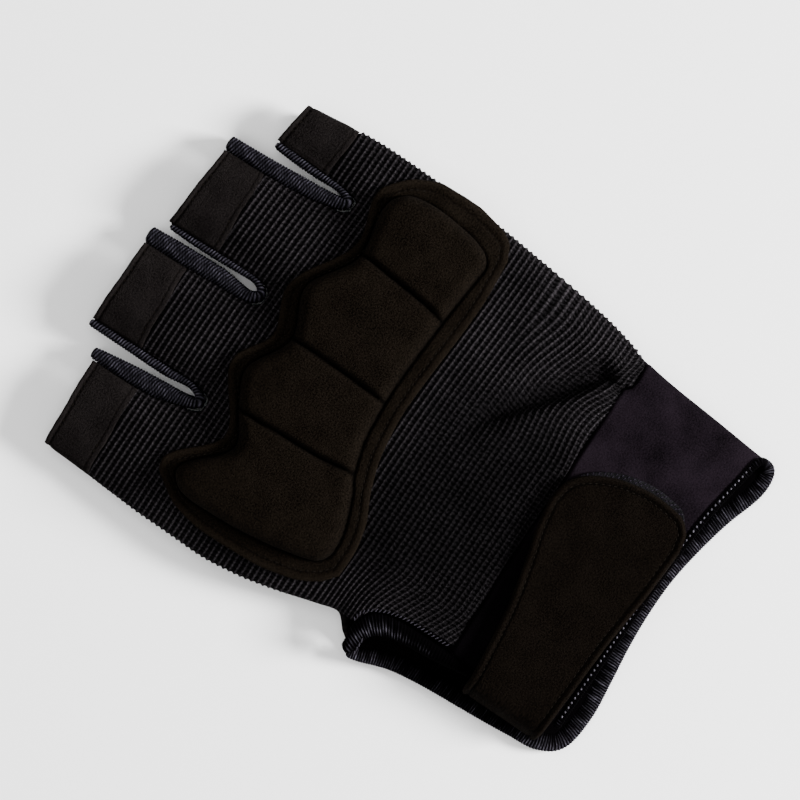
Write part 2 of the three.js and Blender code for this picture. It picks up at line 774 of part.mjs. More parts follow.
// The cuff: one sheet from its free edge on the back, round the little-finger side and under the
// wrist to the thumb side, where its edge turns up.
function cuffColumns() {
  const list = [];
  const across = [...Array(cuffSteps).keys()].map((i) => i / cuffSteps);
  const inwards = [...sideShares].reverse();
  across.forEach((share) => list.push({ face: 'back', share }));
  inwards.forEach((share) => list.push({ face: 'back', right: share }));
  sideShares.slice(1).forEach((share) => list.push({ face: 'palm', right: share }));
  across.slice(1).forEach((share) => list.push({ face: 'palm', share }));
  inwards.forEach((share) => list.push({ face: 'palm', left: share }));
  return list;
}
const boundLeft = (y) => outlineLeft(y) + rimWidth + 2 * seamGap;
function cuffX(column, y) {
  const right = outlineRight(y);
  if (column.right !== undefined) return right - sideReach * column.right;
  if (column.left !== undefined) return boundLeft(y) + sideReach * column.left;
  if (column.face === 'back') return lerp(slitEdgeX, right - sideReach, column.share);
  return lerp(right - sideReach, boundLeft(y) + sideReach, column.share);
}
const backSheetEnd = (x) => read(backMouth, 'x', x, 'y') + backRimWidth + seamGap;
const mouthCorner = { from: -44, to: -34 };
const palmSheetEnd = (x) => {
  const inward = rimWidth * (1 - smoothstep(x, mouthCorner.from, mouthCorner.to));
  return read(palmMouth, 'x', x - inward, 'y') + rimWidth + 2 * seamGap;
};

// The cuff's mouth runs from the back's edge to the palm's edge round the little-finger side.
function mouthEnd(column, x, backEnd, palmEnd) {
  if (column.right === undefined) return column.face === 'back' ? backEnd(x) : palmEnd(x);
  const turn = (1 - column.right) * (column.face === 'back' ? 0.5 : -0.5);
  const share = column.face === 'back' ? turn : 1 + turn;
  return lerp(backEnd(x), palmEnd(x), share);
}
function wristCuff() {
  const list = cuffColumns();
  const rows = [];
  for (let j = 0; j <= cuffRows; j += 1) {
    rows.push(list.map((column) => {
      const start = column.face === 'back' ? read(wristSeam, 'x', cuffX(column, seamY), 'y') : seamY;
      const end = mouthEnd(column, cuffX(column, mouthY), backSheetEnd, palmSheetEnd);
      const y = lerp(end, start - 1.5 * seamGap, j / cuffRows);
      const x = cuffX(column, y);
      return column.face === 'back' ? onBack(x, y) : onPalm(x, y);
    }));
  }
  return clothSolid(rows, 0, cuffThickness);
}

// The bound edge: over the back of the mouth, round the little-finger side, along the palm side of
// the mouth and up the thumb side to the thumb hole.
function bindingStops() {
  const halfBack = backRimWidth / 2;
  const halfPalm = rimWidth / 2;
  const onMouthBack = (x) => {
    const y = read(backMouth, 'x', x, 'y') + halfBack;
    return { x, y, z: backHeight(x, y) - cuffThickness / 2, half: halfBack };
  };
  const onPalmFace = (x, y) => {
    return { x, y, z: palmHeight(x, y) + rimThickness / 2 + rimLift, half: halfPalm };
  };
  const onMouthPalm = (x) => onPalmFace(x, read(palmMouth, 'x', x, 'y') + halfPalm);
  const onThumbSide = (y) => onPalmFace(outlineLeft(y) + halfPalm, y);
  return [
    ...[-41, -30, -19, -8, 3, 14, 25, 36].map(onMouthBack),
    ...bindingTurn,
    ...[36, 26, 16, 6, -4, -14, -24, -34].map(onMouthPalm),
    bindingCorner,
    ...[-72, -65, -58, -51, -44, -37, -30].map(onThumbSide),
    bindingEnd,
  ];
}
function cuffBinding() {
  const stops = bindingStops();
  const curve = new THREE.CatmullRomCurve3(stops.map(({ x, y, z }) => new THREE.Vector3(x, y, z)));
  const halves = new THREE.CatmullRomCurve3(stops.map(({ half }, n) => new THREE.Vector3(half, n, 0)));
  const rings = [];
  for (let j = 0; j <= bindingSteps; j += 1) {
    const t = j / bindingSteps;
    const tangent = curve.getTangent(t);
    const sideways = new THREE.Vector3().crossVectors(tangent, upwards).normalize();
    const up = new THREE.Vector3().crossVectors(sideways, tangent).normalize();
    const width = halves.getPoint(t).x;
    rings.push(ovalRing(curve.getPoint(t), up, sideways, rimThickness / 2, width, bindingSides, 2.6));
  }
  return loft(rings);
}

function thumbRim() {
  const point = (row, side) => new THREE.Vector3(row[`${side}X`], row[`${side}Y`], 0);
  const outer = new THREE.CatmullRomCurve3(thumbBand.map((row) => point(row, 'outer')));
  const inner = new THREE.CatmullRomCurve3(thumbBand.map((row) => point(row, 'inner')));
  const rows = [];
  for (let j = 0; j <= thumbSteps; j += 1) {
    const a = outer.getPoint(j / thumbSteps);
    const b = inner.getPoint(j / thumbSteps);
    rows.push([0, 0.35, 0.7, 1].map((share) => onBack(lerp(a.x, b.x, share), lerp(a.y, b.y, share))));
  }
  return clothSolid(rows, thumbRimProud, thumbRimThickness - thumbRimProud);
}

add('back_panel', backPanel(), knitColour, 0.85);
add('palm_panel', palmPanel(), suedeColour, 0.95);
fingers.forEach((finger, k) => add(`finger_hem_${finger.name}`, fingerHem(k), suedeColour, 0.95));
gussets.forEach((gusset) => add(gusset.name, gussetTape(gusset), tapeColour, 0.5));
add(
  'knuckle_patch',
  laidSheet(patchEnds, patchEdges, patchLift, patchThickness, patchSteps),
  suedeColour,
  0.95,
);
for (let k = 0; k < cellCount; k += 1) add(`knuckle_cell_${k + 1}`, knuckleCell(k), suedeColour, 0.95);
add('wrist_cuff', wristCuff(), cuffColour, 0.8);
add('cuff_binding', cuffBinding(), tapeColour, 0.6);
add('thumb_rim', thumbRim(), tapeColour, 0.6);

const loopEnds = strapEnds.map((row) => ({ v: row.v, left: loopLeft, right: row.right + loopProud }));
const strapEdges = {
  top: (x) => read(strapTop, 'x', x, 'y'),
  bottom: (x) => read(strapBottom, 'x', x, 'y'),
};
const loopEdges = {
  top: (x) => strapEdges.top(x) - loopInset,
  bottom: (x) => strapEdges.bottom(x) + loopInset,
};
const loopLift = seamGap;
const strapLift = 2 * seamGap + loopThickness;
add('strap_loop', laidSheet(loopEnds, loopEdges, loopLift, loopThickness, loopSteps), cuffColour, 0.9);
add(
  'wrist_strap',
  laidSheet(strapEnds, strapEdges, strapLift, strapThickness, strapSteps),
  suedeColour,
  0.95,
);

const glove = new THREE.Group();
glove.add(...parts);

export default glove;
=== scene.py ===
# %% [markdown]
# # A fingerless glove in Blender
# The glove lies palm down: ribbed knit over the back, soft suede under the palm, a padded suede patch
# over the knuckles, elastic tape between the fingers and a suede strap over the wrist.
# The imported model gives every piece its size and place. Each piece is modelled here again as cloth
# and stands for the plain solid of the same name.

import bpy
import numpy as np
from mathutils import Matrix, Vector, kdtree


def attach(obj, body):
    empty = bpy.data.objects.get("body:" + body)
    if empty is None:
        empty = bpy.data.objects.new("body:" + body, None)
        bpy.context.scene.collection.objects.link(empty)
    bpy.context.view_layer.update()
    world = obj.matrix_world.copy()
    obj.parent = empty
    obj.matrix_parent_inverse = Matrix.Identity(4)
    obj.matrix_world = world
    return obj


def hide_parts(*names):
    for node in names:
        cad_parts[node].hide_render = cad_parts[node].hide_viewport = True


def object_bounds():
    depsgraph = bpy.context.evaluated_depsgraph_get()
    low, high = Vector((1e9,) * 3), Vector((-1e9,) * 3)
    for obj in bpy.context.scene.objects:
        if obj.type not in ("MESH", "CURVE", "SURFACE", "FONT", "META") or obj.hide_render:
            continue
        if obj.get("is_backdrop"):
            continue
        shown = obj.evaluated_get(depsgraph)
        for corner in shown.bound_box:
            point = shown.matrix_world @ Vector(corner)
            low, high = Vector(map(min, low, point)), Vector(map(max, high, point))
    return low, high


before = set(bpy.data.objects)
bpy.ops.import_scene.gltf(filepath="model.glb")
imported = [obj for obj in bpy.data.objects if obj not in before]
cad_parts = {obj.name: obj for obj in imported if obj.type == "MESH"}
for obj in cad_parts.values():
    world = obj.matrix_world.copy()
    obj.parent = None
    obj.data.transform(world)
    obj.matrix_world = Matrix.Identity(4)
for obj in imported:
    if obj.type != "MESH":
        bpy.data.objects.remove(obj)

cad_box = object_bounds()
print("solids to dress:", len(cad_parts))

# %% [markdown]
# ## Millimetres on the glove
# Cloth is easier to think of in millimetres, measured from a point on the back of the hand. X runs
# to the little finger, Y to the fingertips and Z up. Only the last step turns this into metres.

# %% Units and small helpers
ORIGIN = np.array([0.35, -2.94, 0.0])
MM = 0.001


def metres(points):
    return (np.asarray(points, float) - ORIGIN) * MM


def blend(a, b, share):
    return a + (b - a) * share


def smooth(value, start, end):
    share = np.clip((value - start) / (end - start), 0, 1)
    return share * share * (3 - 2 * share)


def bell(value, centre, width):
    return np.exp(-(((value - centre) / width) ** 2))


def lengths_along(points):
    steps = np.linalg.norm(np.diff(points, axis=-2), axis=-1)
    return np.concatenate([0 * steps[..., :1], np.cumsum(steps, axis=-1)], axis=-1)


def in_plan(x, y):
    return np.stack([x, y, 0 * x], axis=-1)

# %% [markdown]
# ## Tables that are read smoothly
# An outline is a short table with named columns, the first of which says where each row stands.
# Reading it with a monotone cubic gives a curve through every row that never bulges past them, so
# few rows are enough.

# %% Tables
def table(columns, *rows):
    return dict(zip(columns.split(), np.array(rows, float).T))


def read(rows, at, column="y"):
    places, values = next(iter(rows.values())), rows[column]
    at = np.clip(at, places[0], places[-1])
    step = np.diff(places)
    secant = np.diff(values) / step
    slope = np.concatenate([secant[:1], np.zeros(len(secant) - 1), secant[-1:]])
    before, after = secant[:-1], secant[1:]
    same_way = before * after > 0
    slope[1:-1][same_way] = (2 * before * after)[same_way] / (before + after)[same_way]
    row = np.clip(np.searchsorted(places, at, side="right") - 1, 0, len(step) - 1)
    span = step[row]
    t = (at - places[row]) / span
    rise = 3 * t**2 - 2 * t**3
    ease_out = (t**3 - 2 * t**2 + t) * span
    ease_in = (t**3 - t**2) * span
    curve = blend(values[row], values[row + 1], rise)
    return curve + slope[row] * ease_out + slope[row + 1] * ease_in

# %% The glove's outline and the slits between the fingers
OUTLINE = table(
    "y left right height",
    (-86, -47.0, 43.6, 9.8), (-75, -47.9, 44.4, 10.2), (-62.5, -49.2, 45.4, 10.8),
    (-50, -50.1, 46.6, 11.4), (-42, -50.6, 47.7, 12.0), (-37.5, -51.1, 49.1, 12.4),
    (-30, -52.4, 50.7, 12.8), (-21.5, -55.5, 52.0, 13.2), (-17, -51.0, 52.6, 13.4),
    (-13, -47.4, 53.1, 13.5), (-7.5, -48.8, 53.8, 13.6), (5, -52.3, 55.2, 13.8),
    (14, -54.0, 55.7, 13.8), (25, -55.0, 55.9, 13.6), (40, -55.0, 55.8, 12.8),
    (50, -54.6, 55.3, 12.2), (58, -54.2, 54.5, 11.6), (66, -53.9, 53.3, 11.0),
    (80, -52.4, 52.0, 10.2),
)


def slit_at(bend, left, right):
    return {"bend": bend, "left": table("y x half", *left), "right": table("y x half", *right)}


SLITS = [
    slit_at(
        (-23.1, 44.7),
        [(48.5, -25.2, 1.8), (56, -26.9, 2.1), (65, -27.6, 1.85), (74.2, -28.0, 1.45)],
        [(48.5, -20.9, 0.95), (56, -21.1, 1.05), (67, -21.4, 1.05), (78.9, -21.8, 1.05)],
    ),
    slit_at(
        (7.6, 47.1),
        [(50, 5.4, 1.7), (58, 5.0, 1.95), (68, 4.6, 2.1), (79.2, 4.4, 2.2)],
        [(50, 9.7, 0.85), (58, 9.8, 0.8), (66, 9.5, 0.8), (75.6, 9.2, 0.75)],
    ),
    slit_at(
        (38.9, 41.8),
        [(45.5, 37.0, 1.9), (54, 35.5, 2.0), (64, 34.9, 2.0), (75.4, 34.6, 2.0)],
        [(45.5, 40.5, 0.85), (52, 40.8, 0.85), (58, 40.9, 0.9), (65.1, 41.1, 0.9)],
    ),
]
SEAM_GAP = 0.35
SLIT_CLOSING = 1.4


def slit_bottom(slit):
    return slit["bend"][1] - slit["left"]["half"][0] - SEAM_GAP


def slit_edge(slit, side, y, tuck=0.0):
    leg = slit[side]
    sign = -1 if side == "left" else 1
    bend, bottom = leg["y"][0], slit_bottom(slit) + tuck
    reach = np.maximum(y, bend)
    away = read(leg, reach, "x") + sign * (read(leg, reach, "half") + SEAM_GAP - tuck)
    share = np.clip((y - bottom) / (bend - bottom), 0, 1)
    closed = slit["bend"][0] + sign * (SLIT_CLOSING - tuck)
    return blend(closed, away, np.sqrt(share * (2 - share)))


print("glove", OUTLINE["right"].max() - OUTLINE["left"].min(), "mm wide")

# %% [markdown]
# ## The shape of the back and of the palm
# Lying flat, the back is a low arch from seam to seam and the palm is flat with turned-up edges.
# A long fold runs from the wrist seam up across the back, and the cloth dips beside each slit.
# Every piece is laid on these two height functions, so nothing has to be fitted afterwards.

# %% Height functions
SEAM_SHARE = 0.42
CROWN_POWER = 3.1
PALM_FLAT_SHARE = 0.72
SLIT_DIP, SLIT_DIP_REACH = 2.2, 4.0
FOLD_START, FOLD_END = np.array([39.0, -38.0]), np.array([7.0, -13.0])
FOLD_BOW, FOLD_RIDGE, FOLD_GROOVE = 0.7, 2.5, 2.8
PUCKER, PUCKER_REACH, PUCKER_DEPTH = (38.7, -38.2), (0.9, 2.4), 1.6
TUFT, TUFT_REACH, TUFT_HEIGHT = (41.2, -38.6), (2.0, 2.6), 0.9
SOFT_START, SOFT_END, SOFT_HEIGHT = np.array([46.0, -37.5]), np.array([28.5, -12.0]), 1.15


def left_edge(y):
    return read(OUTLINE, y, "left")


def right_edge(y):
    return read(OUTLINE, y, "right")


def out_share(x, y):
    left, right = left_edge(y), right_edge(y)
    return np.clip(np.abs((2 * x - left - right) / (right - left)), 0, 1)


def crown(out):
    return (1 - out**CROWN_POWER) ** (1 / CROWN_POWER)


def along_and_across(x, y, start, end):
    way = end - start
    length = np.hypot(*way)
    dx, dy = way / length
    along = (x - start[0]) * dx + (y - start[1]) * dy
    across = (x - start[0]) * dy - (y - start[1]) * dx
    return along / length, across


def uneven_bell(value, centre, before, after):
    return bell(value, centre, np.where(value < centre, before, after))


def fold_place(x, y):
    along, across = along_and_across(x, y, FOLD_START, FOLD_END)
    strength = smooth(along, -0.06, 0.06) * (1 - smooth(along, 0.55, 1.05))
    return strength, across + FOLD_BOW * np.sin(np.pi * np.clip(along, 0, 1))


def spot(x, y, centre, reach):
    return bell(x, centre[0], reach[0]) * bell(y, centre[1], reach[1])


def fold_shade(x, y):
    strength, across = fold_place(x, y)
    pit = spot(x, y, PUCKER, PUCKER_REACH)
    return np.clip(strength * uneven_bell(across, 1.3, 1.0, 3.8) + 0.9 * pit, 0, 1)


def fold_height(x, y):
    strength, across = fold_place(x, y)
    ridge = FOLD_RIDGE * uneven_bell(across, -1.2, 4.4, 1.0)
    groove = FOLD_GROOVE * uneven_bell(across, 1.2, 1.1, 4.6)
    pit, tuft = spot(x, y, PUCKER, PUCKER_REACH), spot(x, y, TUFT, TUFT_REACH)
    along, across = along_and_across(x, y, SOFT_START, SOFT_END)
    second = bell(across, 0, 2.3) * smooth(along, -0.1, 0.2) * (1 - smooth(along, 0.6, 1.1))
    drawn_in = TUFT_HEIGHT * tuft - PUCKER_DEPTH * pit
    return strength * (ridge - groove) + drawn_in + SOFT_HEIGHT * second


def back_height(x, y):
    height = read(OUTLINE, y, "height")
    height = height * blend(SEAM_SHARE, 1, crown(out_share(x, y))) + fold_height(x, y)
    for slit in SLITS:
        left, right = slit_edge(slit, "left", y), slit_edge(slit, "right", y)
        off = np.maximum(np.maximum(left - x, x - right), 0) / SLIT_DIP_REACH
        reach = smooth(y, slit["bend"][1] - 10, slit["bend"][1] + 8)
        height = height - SLIT_DIP * reach * np.exp(-off * off)
    return height


def palm_height(x, y):
    turn = np.maximum(0, (out_share(x, y) - PALM_FLAT_SHARE) / (1 - PALM_FLAT_SHARE))
    return read(OUTLINE, y, "height") * SEAM_SHARE * (1 - crown(turn))


def on_back(x, y):
    return np.stack([x, y, back_height(x, y)], axis=-1)


def on_palm(x, y):
    return np.stack([x, y, palm_height(x, y)], axis=-1)


print("height over the knuckles", round(float(back_height(np.array(0.0), np.array(15.0))), 1), "mm")

# %% [markdown]
# ## From a grid of points to a piece of cloth
# Real cloth is a thin closed body with soft edges. `cloth` takes a grid of points on the outer face
# and gives it a thickness. At the rim both faces share their points and the wall thins in a half
# circle, so every edge is round and the mesh is closed. Cells of the grid can be cut out, which
# makes the slits. The UV map holds millimetres along the cloth, so a weave keeps its real scale.

# %% Mesh helpers
pieces = {}


def make_piece(name, points, faces, corner_uv, marks=None):
    mesh = bpy.data.meshes.new(name)
    mesh.from_pydata(metres(points).tolist(), [], [list(face) for face in faces])
    layer = mesh.uv_layers.new(name="cloth")
    layer.data.foreach_set("uv", np.asarray(corner_uv, np.float32).ravel())
    for mark, values in (marks or {}).items():
        attribute = mesh.attributes.new(mark, "FLOAT", "POINT")
        attribute.data.foreach_set("value", np.asarray(values, np.float32).ravel())
    mesh.shade_smooth()
    piece = bpy.data.objects.new(name, mesh)
    bpy.context.scene.collection.objects.link(piece)
    pieces[name] = piece
    print(f"{name}: {len(mesh.polygons)} faces")
    return piece


def grid_normals(surface):
    across, along = np.gradient(surface, axis=1), np.gradient(surface, axis=0)
    normal = np.cross(across, along)
    return normal / np.linalg.norm(normal, axis=2, keepdims=True)


def distance_to(points, rim):
    tree = kdtree.KDTree(len(rim))
    for index, point in enumerate(rim):
        tree.insert(point, index)
    tree.balance()
    return np.array([tree.find(point)[2] for point in points])


def cloth(name, surface, thickness, stand, relief, cut=None, uv=None, marks=None, inner_marks=None):
    rows, columns = surface.shape[:2]
    keep = np.ones((rows - 1, columns - 1), bool) if cut is None else ~cut
    meeting = np.zeros((rows, columns), int)
    for dj in (0, 1):
        for di in (0, 1):
            meeting[dj : rows - 1 + dj, di : columns - 1 + di] += keep
    used, rim = meeting > 0, (meeting > 0) & (meeting < 4)
    away = np.zeros((rows, columns))
    away[used] = distance_to(surface[used], surface[rim])
    half = thickness / 2
    bulge = np.sqrt(1 - (1 - np.clip(away / half, 0, 1)) ** 2)
    normal = grid_normals(surface)
    middle = surface + normal * (stand - half)
    outer = middle + normal * (bulge * (half + relief))[..., None]
    inner = middle - normal * (bulge * half)[..., None]
    count = int(used.sum())
    top = np.zeros((rows, columns), int)
    top[used] = np.arange(count)
    inside = used & ~rim
    under = top.copy()
    under[inside] = count + np.arange(int(inside.sum()))
    j, i = np.nonzero(keep)
    ring = ((j, i), (j, i + 1), (j + 1, i + 1), (j + 1, i))
    faces_out = np.stack([top[place] for place in ring], axis=1)
    faces_in = np.stack([under[place] for place in ring[::-1]], axis=1)
    uv = surface[..., :2] if uv is None else uv
    uv_all = np.concatenate([uv[used], uv[inside]])
    faces = np.concatenate([faces_out, faces_in])
    marks = marks or {}
    inner_marks = inner_marks or marks
    spread = {mark: np.concatenate([marks[mark][used], inner_marks[mark][inside]]) for mark in marks}
    points = np.concatenate([outer[used], inner[inside]])
    return make_piece(name, points, faces, uv_all[faces], spread)

# %% [markdown]
# ## Rolled tapes and bound edges
# A bound edge is a narrow roll that follows a path. `smooth_path` draws a soft curve through a few
# stops and walks it in equal steps, and `roll` sweeps an oval along it with small ridges across.
# The ridges lean a little, as thread does when it is wound round an edge.

# %% Sweep helpers
END_LENGTH = 0.8


def smooth_path(stops, step):
    stops = np.array(stops, float)
    padded = np.vstack([2 * stops[0] - stops[1], stops, 2 * stops[-1] - stops[-2]])
    t = np.linspace(0, 1, 24, endpoint=False)[:, None]
    spans = [
        0.5 * (2 * b + (c - a) * t + (2 * a - 5 * b + 4 * c - d) * t**2 + (3 * b - a - 3 * c + d) * t**3)
        for a, b, c, d in zip(padded, padded[1:], padded[2:], padded[3:])
    ]
    dense = np.vstack([*spans, stops[-1:]])
    gone = lengths_along(dense[:, :2])
    at = np.linspace(0, gone[-1], int(round(gone[-1] / step)) + 1)
    return at, np.stack([np.interp(at, gone, column) for column in dense.T], axis=1)


def unit(vectors):
    return vectors / np.linalg.norm(vectors, axis=-1, keepdims=True)


def roll(name, centres, half_width, half_depth, pitch, ridge, lean, sides, power, shade_and_tone=0.0):
    centres = np.asarray(centres, float)
    along = unit(np.gradient(centres, axis=0))
    sideways = unit(np.cross(along, (0, 0, 1)))
    up = np.cross(sideways, along)
    gone = lengths_along(centres)
    end_round = np.minimum(gone, gone[-1] - gone) / END_LENGTH
    end_round = np.sqrt(1 - (1 - np.clip(end_round, 0.02, 1)) ** 2)
    angle = 2 * np.pi * np.arange(sides) / sides
    swell = lambda value: np.sign(value) * np.abs(value) ** (2 / power)
    ring_side, ring_up = swell(np.cos(angle)), swell(np.sin(angle))
    shift = lean * half_width[:, None] / pitch * np.cos(angle)[None, :]
    wave = np.cos(2 * np.pi * (gone[:, None] / pitch + shift))
    grow = end_round[:, None] * ridge * (wave - 1) / 2
    width = end_round[:, None] * half_width[:, None] + grow
    depth = end_round[:, None] * half_depth[:, None] + grow
    rings = centres[:, None, :] + sideways[:, None, :] * (width * ring_side)[..., None]
    rings = rings + up[:, None, :] * (depth * ring_up)[..., None]
    last = len(centres) - 1
    j, i = np.meshgrid(np.arange(last), np.arange(sides), indexing="ij")
    j, i = j.ravel(), i.ravel()
    number = lambda row, column: row * sides + column % sides
    around = 2 * np.pi * half_width.mean() / sides
    corner = lambda row, column: np.stack([gone[row], column * around], axis=-1)
    ring = ((j, i + 1), (j, i), (j + 1, i), (j + 1, i + 1))
    faces = np.stack([number(*place) for place in ring], axis=1)
    uv = np.stack([corner(*place) for place in ring], axis=1)
    caps = [list(range(sides)), [number(last, column) for column in range(sides)][::-1]]
    flat_uv = [*uv.reshape(-1, 2).tolist(), *([[0.0, 0.0]] * (2 * sides))]
    all_faces = [*faces.tolist(), *caps]
    # Painted shade in the valleys between the ridges, which leaves painted highlights on the ridges.
    valley = np.clip((1 - wave) / 2 + shade_and_tone, 0, 1)
    return make_piece(name, rings.reshape(-1, 3), all_faces, flat_uv, {"valley": valley})

# %% [markdown]
# ## Materials
# All of it is nearly black, so the finishes must differ in other ways: the knit has painted bright
# crests and painted dark grooves, the suede is matt and mottled, and the tape and the thread have
# painted highlights on their ridges. `Finish` is a small pen for node trees. Values that are the
# same all over go on the shader's own socket.

# %% A pen for node trees
class Finish:
    def __init__(self, name, roughness, sheen, sheen_tint=(1, 1, 1), sheen_roughness=0.5, specular=0.5):
        self.material = bpy.data.materials.new(name)
        self.material.use_nodes = True
        self.tree = self.material.node_tree
        self.shader = self.tree.nodes["Principled BSDF"]
        same_all_over = {
            "Roughness": roughness,
            "Sheen Weight": sheen,
            "Sheen Roughness": sheen_roughness,
            "Sheen Tint": (*sheen_tint, 1),
            "Specular IOR Level": specular,
        }
        for socket, value in same_all_over.items():
            self.shader.inputs[socket].default_value = value

    def node(self, kind, inputs=(), **settings):
        made = self.tree.nodes.new(kind)
        for key, value in settings.items():
            setattr(made, key, value)
        for socket, value in dict(inputs).items():
            if hasattr(value, "links"):
                self.tree.links.new(value, made.inputs[socket])
            elif value is not None:
                made.inputs[socket].default_value = value
        return made.outputs[0]

    def math(self, operation, a, b=None, c=None):
        return self.node("ShaderNodeMath", {0: a, 1: b, 2: c}, operation=operation)

    def times(self, a, b):
        return self.math("MULTIPLY", a, b)

    def plus(self, a, b):
        return self.math("ADD", a, b)

    def mark(self, name):
        return self.node("ShaderNodeAttribute", attribute_name=name).node.outputs["Fac"]

    def place(self):
        return self.node("ShaderNodeUVMap", uv_map="cloth")

    def along(self, place):
        return self.node("ShaderNodeSeparateXYZ", {0: place})

    def noise(self, vector, scale, detail=3.0, roughness=0.6):
        sockets = {"Vector": vector, "Scale": scale, "Detail": detail, "Roughness": roughness}
        return self.node("ShaderNodeTexNoise", sockets)

    def span(self, value, low, high, to_low=0.0, to_high=1.0):
        sockets = {0: value, 1: low, 2: high, 3: to_low, 4: to_high}
        return self.node("ShaderNodeMapRange", sockets)

    def mix(self, factor, a, b):
        color = lambda value: (*value, 1) if isinstance(value, tuple) else value
        sockets = {0: factor, 6: color(a), 7: color(b)}
        return self.node("ShaderNodeMix", sockets, data_type="RGBA").node.outputs[2]

    def bump(self, height, depth):
        sockets = {"Height": height, "Distance": depth, "Strength": 1.0}
        return self.node("ShaderNodeBump", sockets)

    def done(self, color, normal=None):
        self.tree.links.new(color, self.shader.inputs["Base Color"])
        if normal is not None:
            self.tree.links.new(normal, self.shader.inputs["Normal"])
        return self.material

# %% [markdown]
# ### Ribbed knit
# The ribs are real waves in the mesh, 1.52 mm apart. On each crest the stitches sit 1.19 mm apart,
# so the finish paints a row of small bright beads along every crest as a highlight and paints the
# grooves black as shade.

# %% The knit's finish
RIB_PITCH = 1.52
STITCH_PITCH = 1.19
CREST_POWER = 3.4
WOBBLE_GRAIN, THREAD_GRAIN, CLOUD_GRAIN = 0.7, 2.6, 0.05


def wave_of(pen, value, pitch):
    turns = pen.times(value, 2 * np.pi / pitch)
    return pen.span(pen.math("COSINE", turns), -1.0, 1.0)


def knit_finish():
    pen = Finish("rib_knit", 0.85, 0.001, (0.9, 0.8, 0.95), 0.35, 0.006)
    uv = pen.place()
    wobble = pen.span(pen.noise(uv, WOBBLE_GRAIN, 3.0), 0.3, 0.7, -0.4, 0.4)
    stitch = wave_of(pen, pen.plus(pen.along(uv), wobble), STITCH_PITCH)
    # Painted highlight and shade: the crest mark makes rib crests and stitch beads bright and the grooves
    # black.
    crest = pen.mark("crest")
    plump = pen.math("MULTIPLY_ADD", stitch, 0.62, 0.45)
    line = pen.times(pen.math("POWER", crest, CREST_POWER), plump)
    gap = pen.times(pen.math("SUBTRACT", 0.75, crest), pen.times(stitch, 0.3))
    bead = pen.plus(line, pen.math("MAXIMUM", gap, 0.0))
    thread = pen.span(pen.noise(uv, THREAD_GRAIN, 4.0, 0.75), 0.4, 0.62, 0.2, 1.75)
    cloud = pen.span(pen.noise(uv, CLOUD_GRAIN, 2.0), 0.35, 0.65, 0.7, 1.2)
    bright = pen.times(pen.times(bead, thread), cloud)
    color = pen.mix(bright, (0.0001, 0.0001, 0.0001), (0.0325, 0.0287, 0.0318))
    height = pen.math("MULTIPLY_ADD", stitch, 0.45, pen.times(thread, 0.35))
    return pen.done(color, pen.bump(height, 0.0003))

# %% [markdown]
# ### Suede, tape, stretch cloth, thread and loop pile
# Suede is a mat of short fibres: fine noise for the fibres, soft noise for the brushed patches, and
# marks in the mesh: painted shade in sewn grooves, and a painted highlight on rolled rims that also
# stands for their wear. The rolled tape and the bound edges get lengthwise threads, with painted
# highlights on their ridges and painted shade in the valleys.

# %% The other finishes
FIBRE_GRAIN, BRUSHED_GRAIN = 2.4, 0.14


def darker(color, share):
    return tuple(share * part for part in color)


def suede_finish(name, base, light):
    pen = Finish(name, 0.95, 0.003, (1.0, 0.85, 0.8), 0.5, 0.006)
    uv = pen.place()
    fibre, patches = pen.noise(uv, FIBRE_GRAIN, 3.0, 0.8), pen.noise(uv, BRUSHED_GRAIN, 3.0, 0.6)
    tone = pen.math("MULTIPLY_ADD", patches, 0.35, pen.times(fibre, 1.65))
    # Painted highlight, which also stands for wear: the rim mark lightens rolled rims.
    tone = pen.plus(pen.span(tone, 0.8, 1.25), pen.times(pen.mark("rim"), 0.35))
    # Painted shade: the groove mark darkens sewn grooves, seams and the glove's inside.
    color = pen.mix(pen.mark("groove"), pen.mix(tone, base, light), darker(base, 0.2))
    return pen.done(color, pen.bump(fibre, 0.00035))


def thread_finish(name, base, light, scale, strand_pitch, sharp):
    pen = Finish(name, 0.8, 0.001, (0.8, 0.8, 1.0), 0.3, 0.005)
    uv = pen.place()
    stretched = pen.node("ShaderNodeMapping", {"Vector": uv, "Scale": (*scale, 1)})
    fuzz = pen.noise(stretched, 1.0, 2.0)
    bent = pen.plus(pen.along(uv), pen.times(fuzz, 0.3))
    strand = pen.math("MULTIPLY_ADD", wave_of(pen, bent, strand_pitch), 0.5, 0.5)
    # Painted highlight and shade: the valley mark darkens the colour between the ridges.
    open_part = pen.math("POWER", pen.math("SUBTRACT", 1.0, pen.mark("valley")), sharp)
    uneven = pen.span(pen.noise(uv, 0.9, 2.0), 0.35, 0.65, 0.4, 1.2)
    tone = pen.times(open_part, pen.span(fuzz, 0.35, 0.65, 0.4, 1.15))
    tone = pen.times(pen.times(tone, strand), uneven)
    return pen.done(pen.mix(tone, base, light), pen.bump(strand, 0.00012))


def fabric_finish(name, base, light, grain, depth):
    pen = Finish(name, 0.85, 0.002, (0.95, 0.85, 1.0), 0.45, 0.006)
    uv = pen.place()
    fine, soft = pen.noise(uv, grain, 3.0, 0.7), pen.noise(uv, 0.09, 2.0)
    tone = pen.math("MULTIPLY_ADD", soft, 0.6, pen.times(fine, 0.9))
    plain = pen.mix(pen.span(tone, 0.55, 0.95), base, light)
    # Painted shade and shadow: the groove mark darkens the colour.
    color = pen.mix(pen.mark("groove"), plain, darker(base, 0.12))
    return pen.done(color, pen.bump(fine, depth))


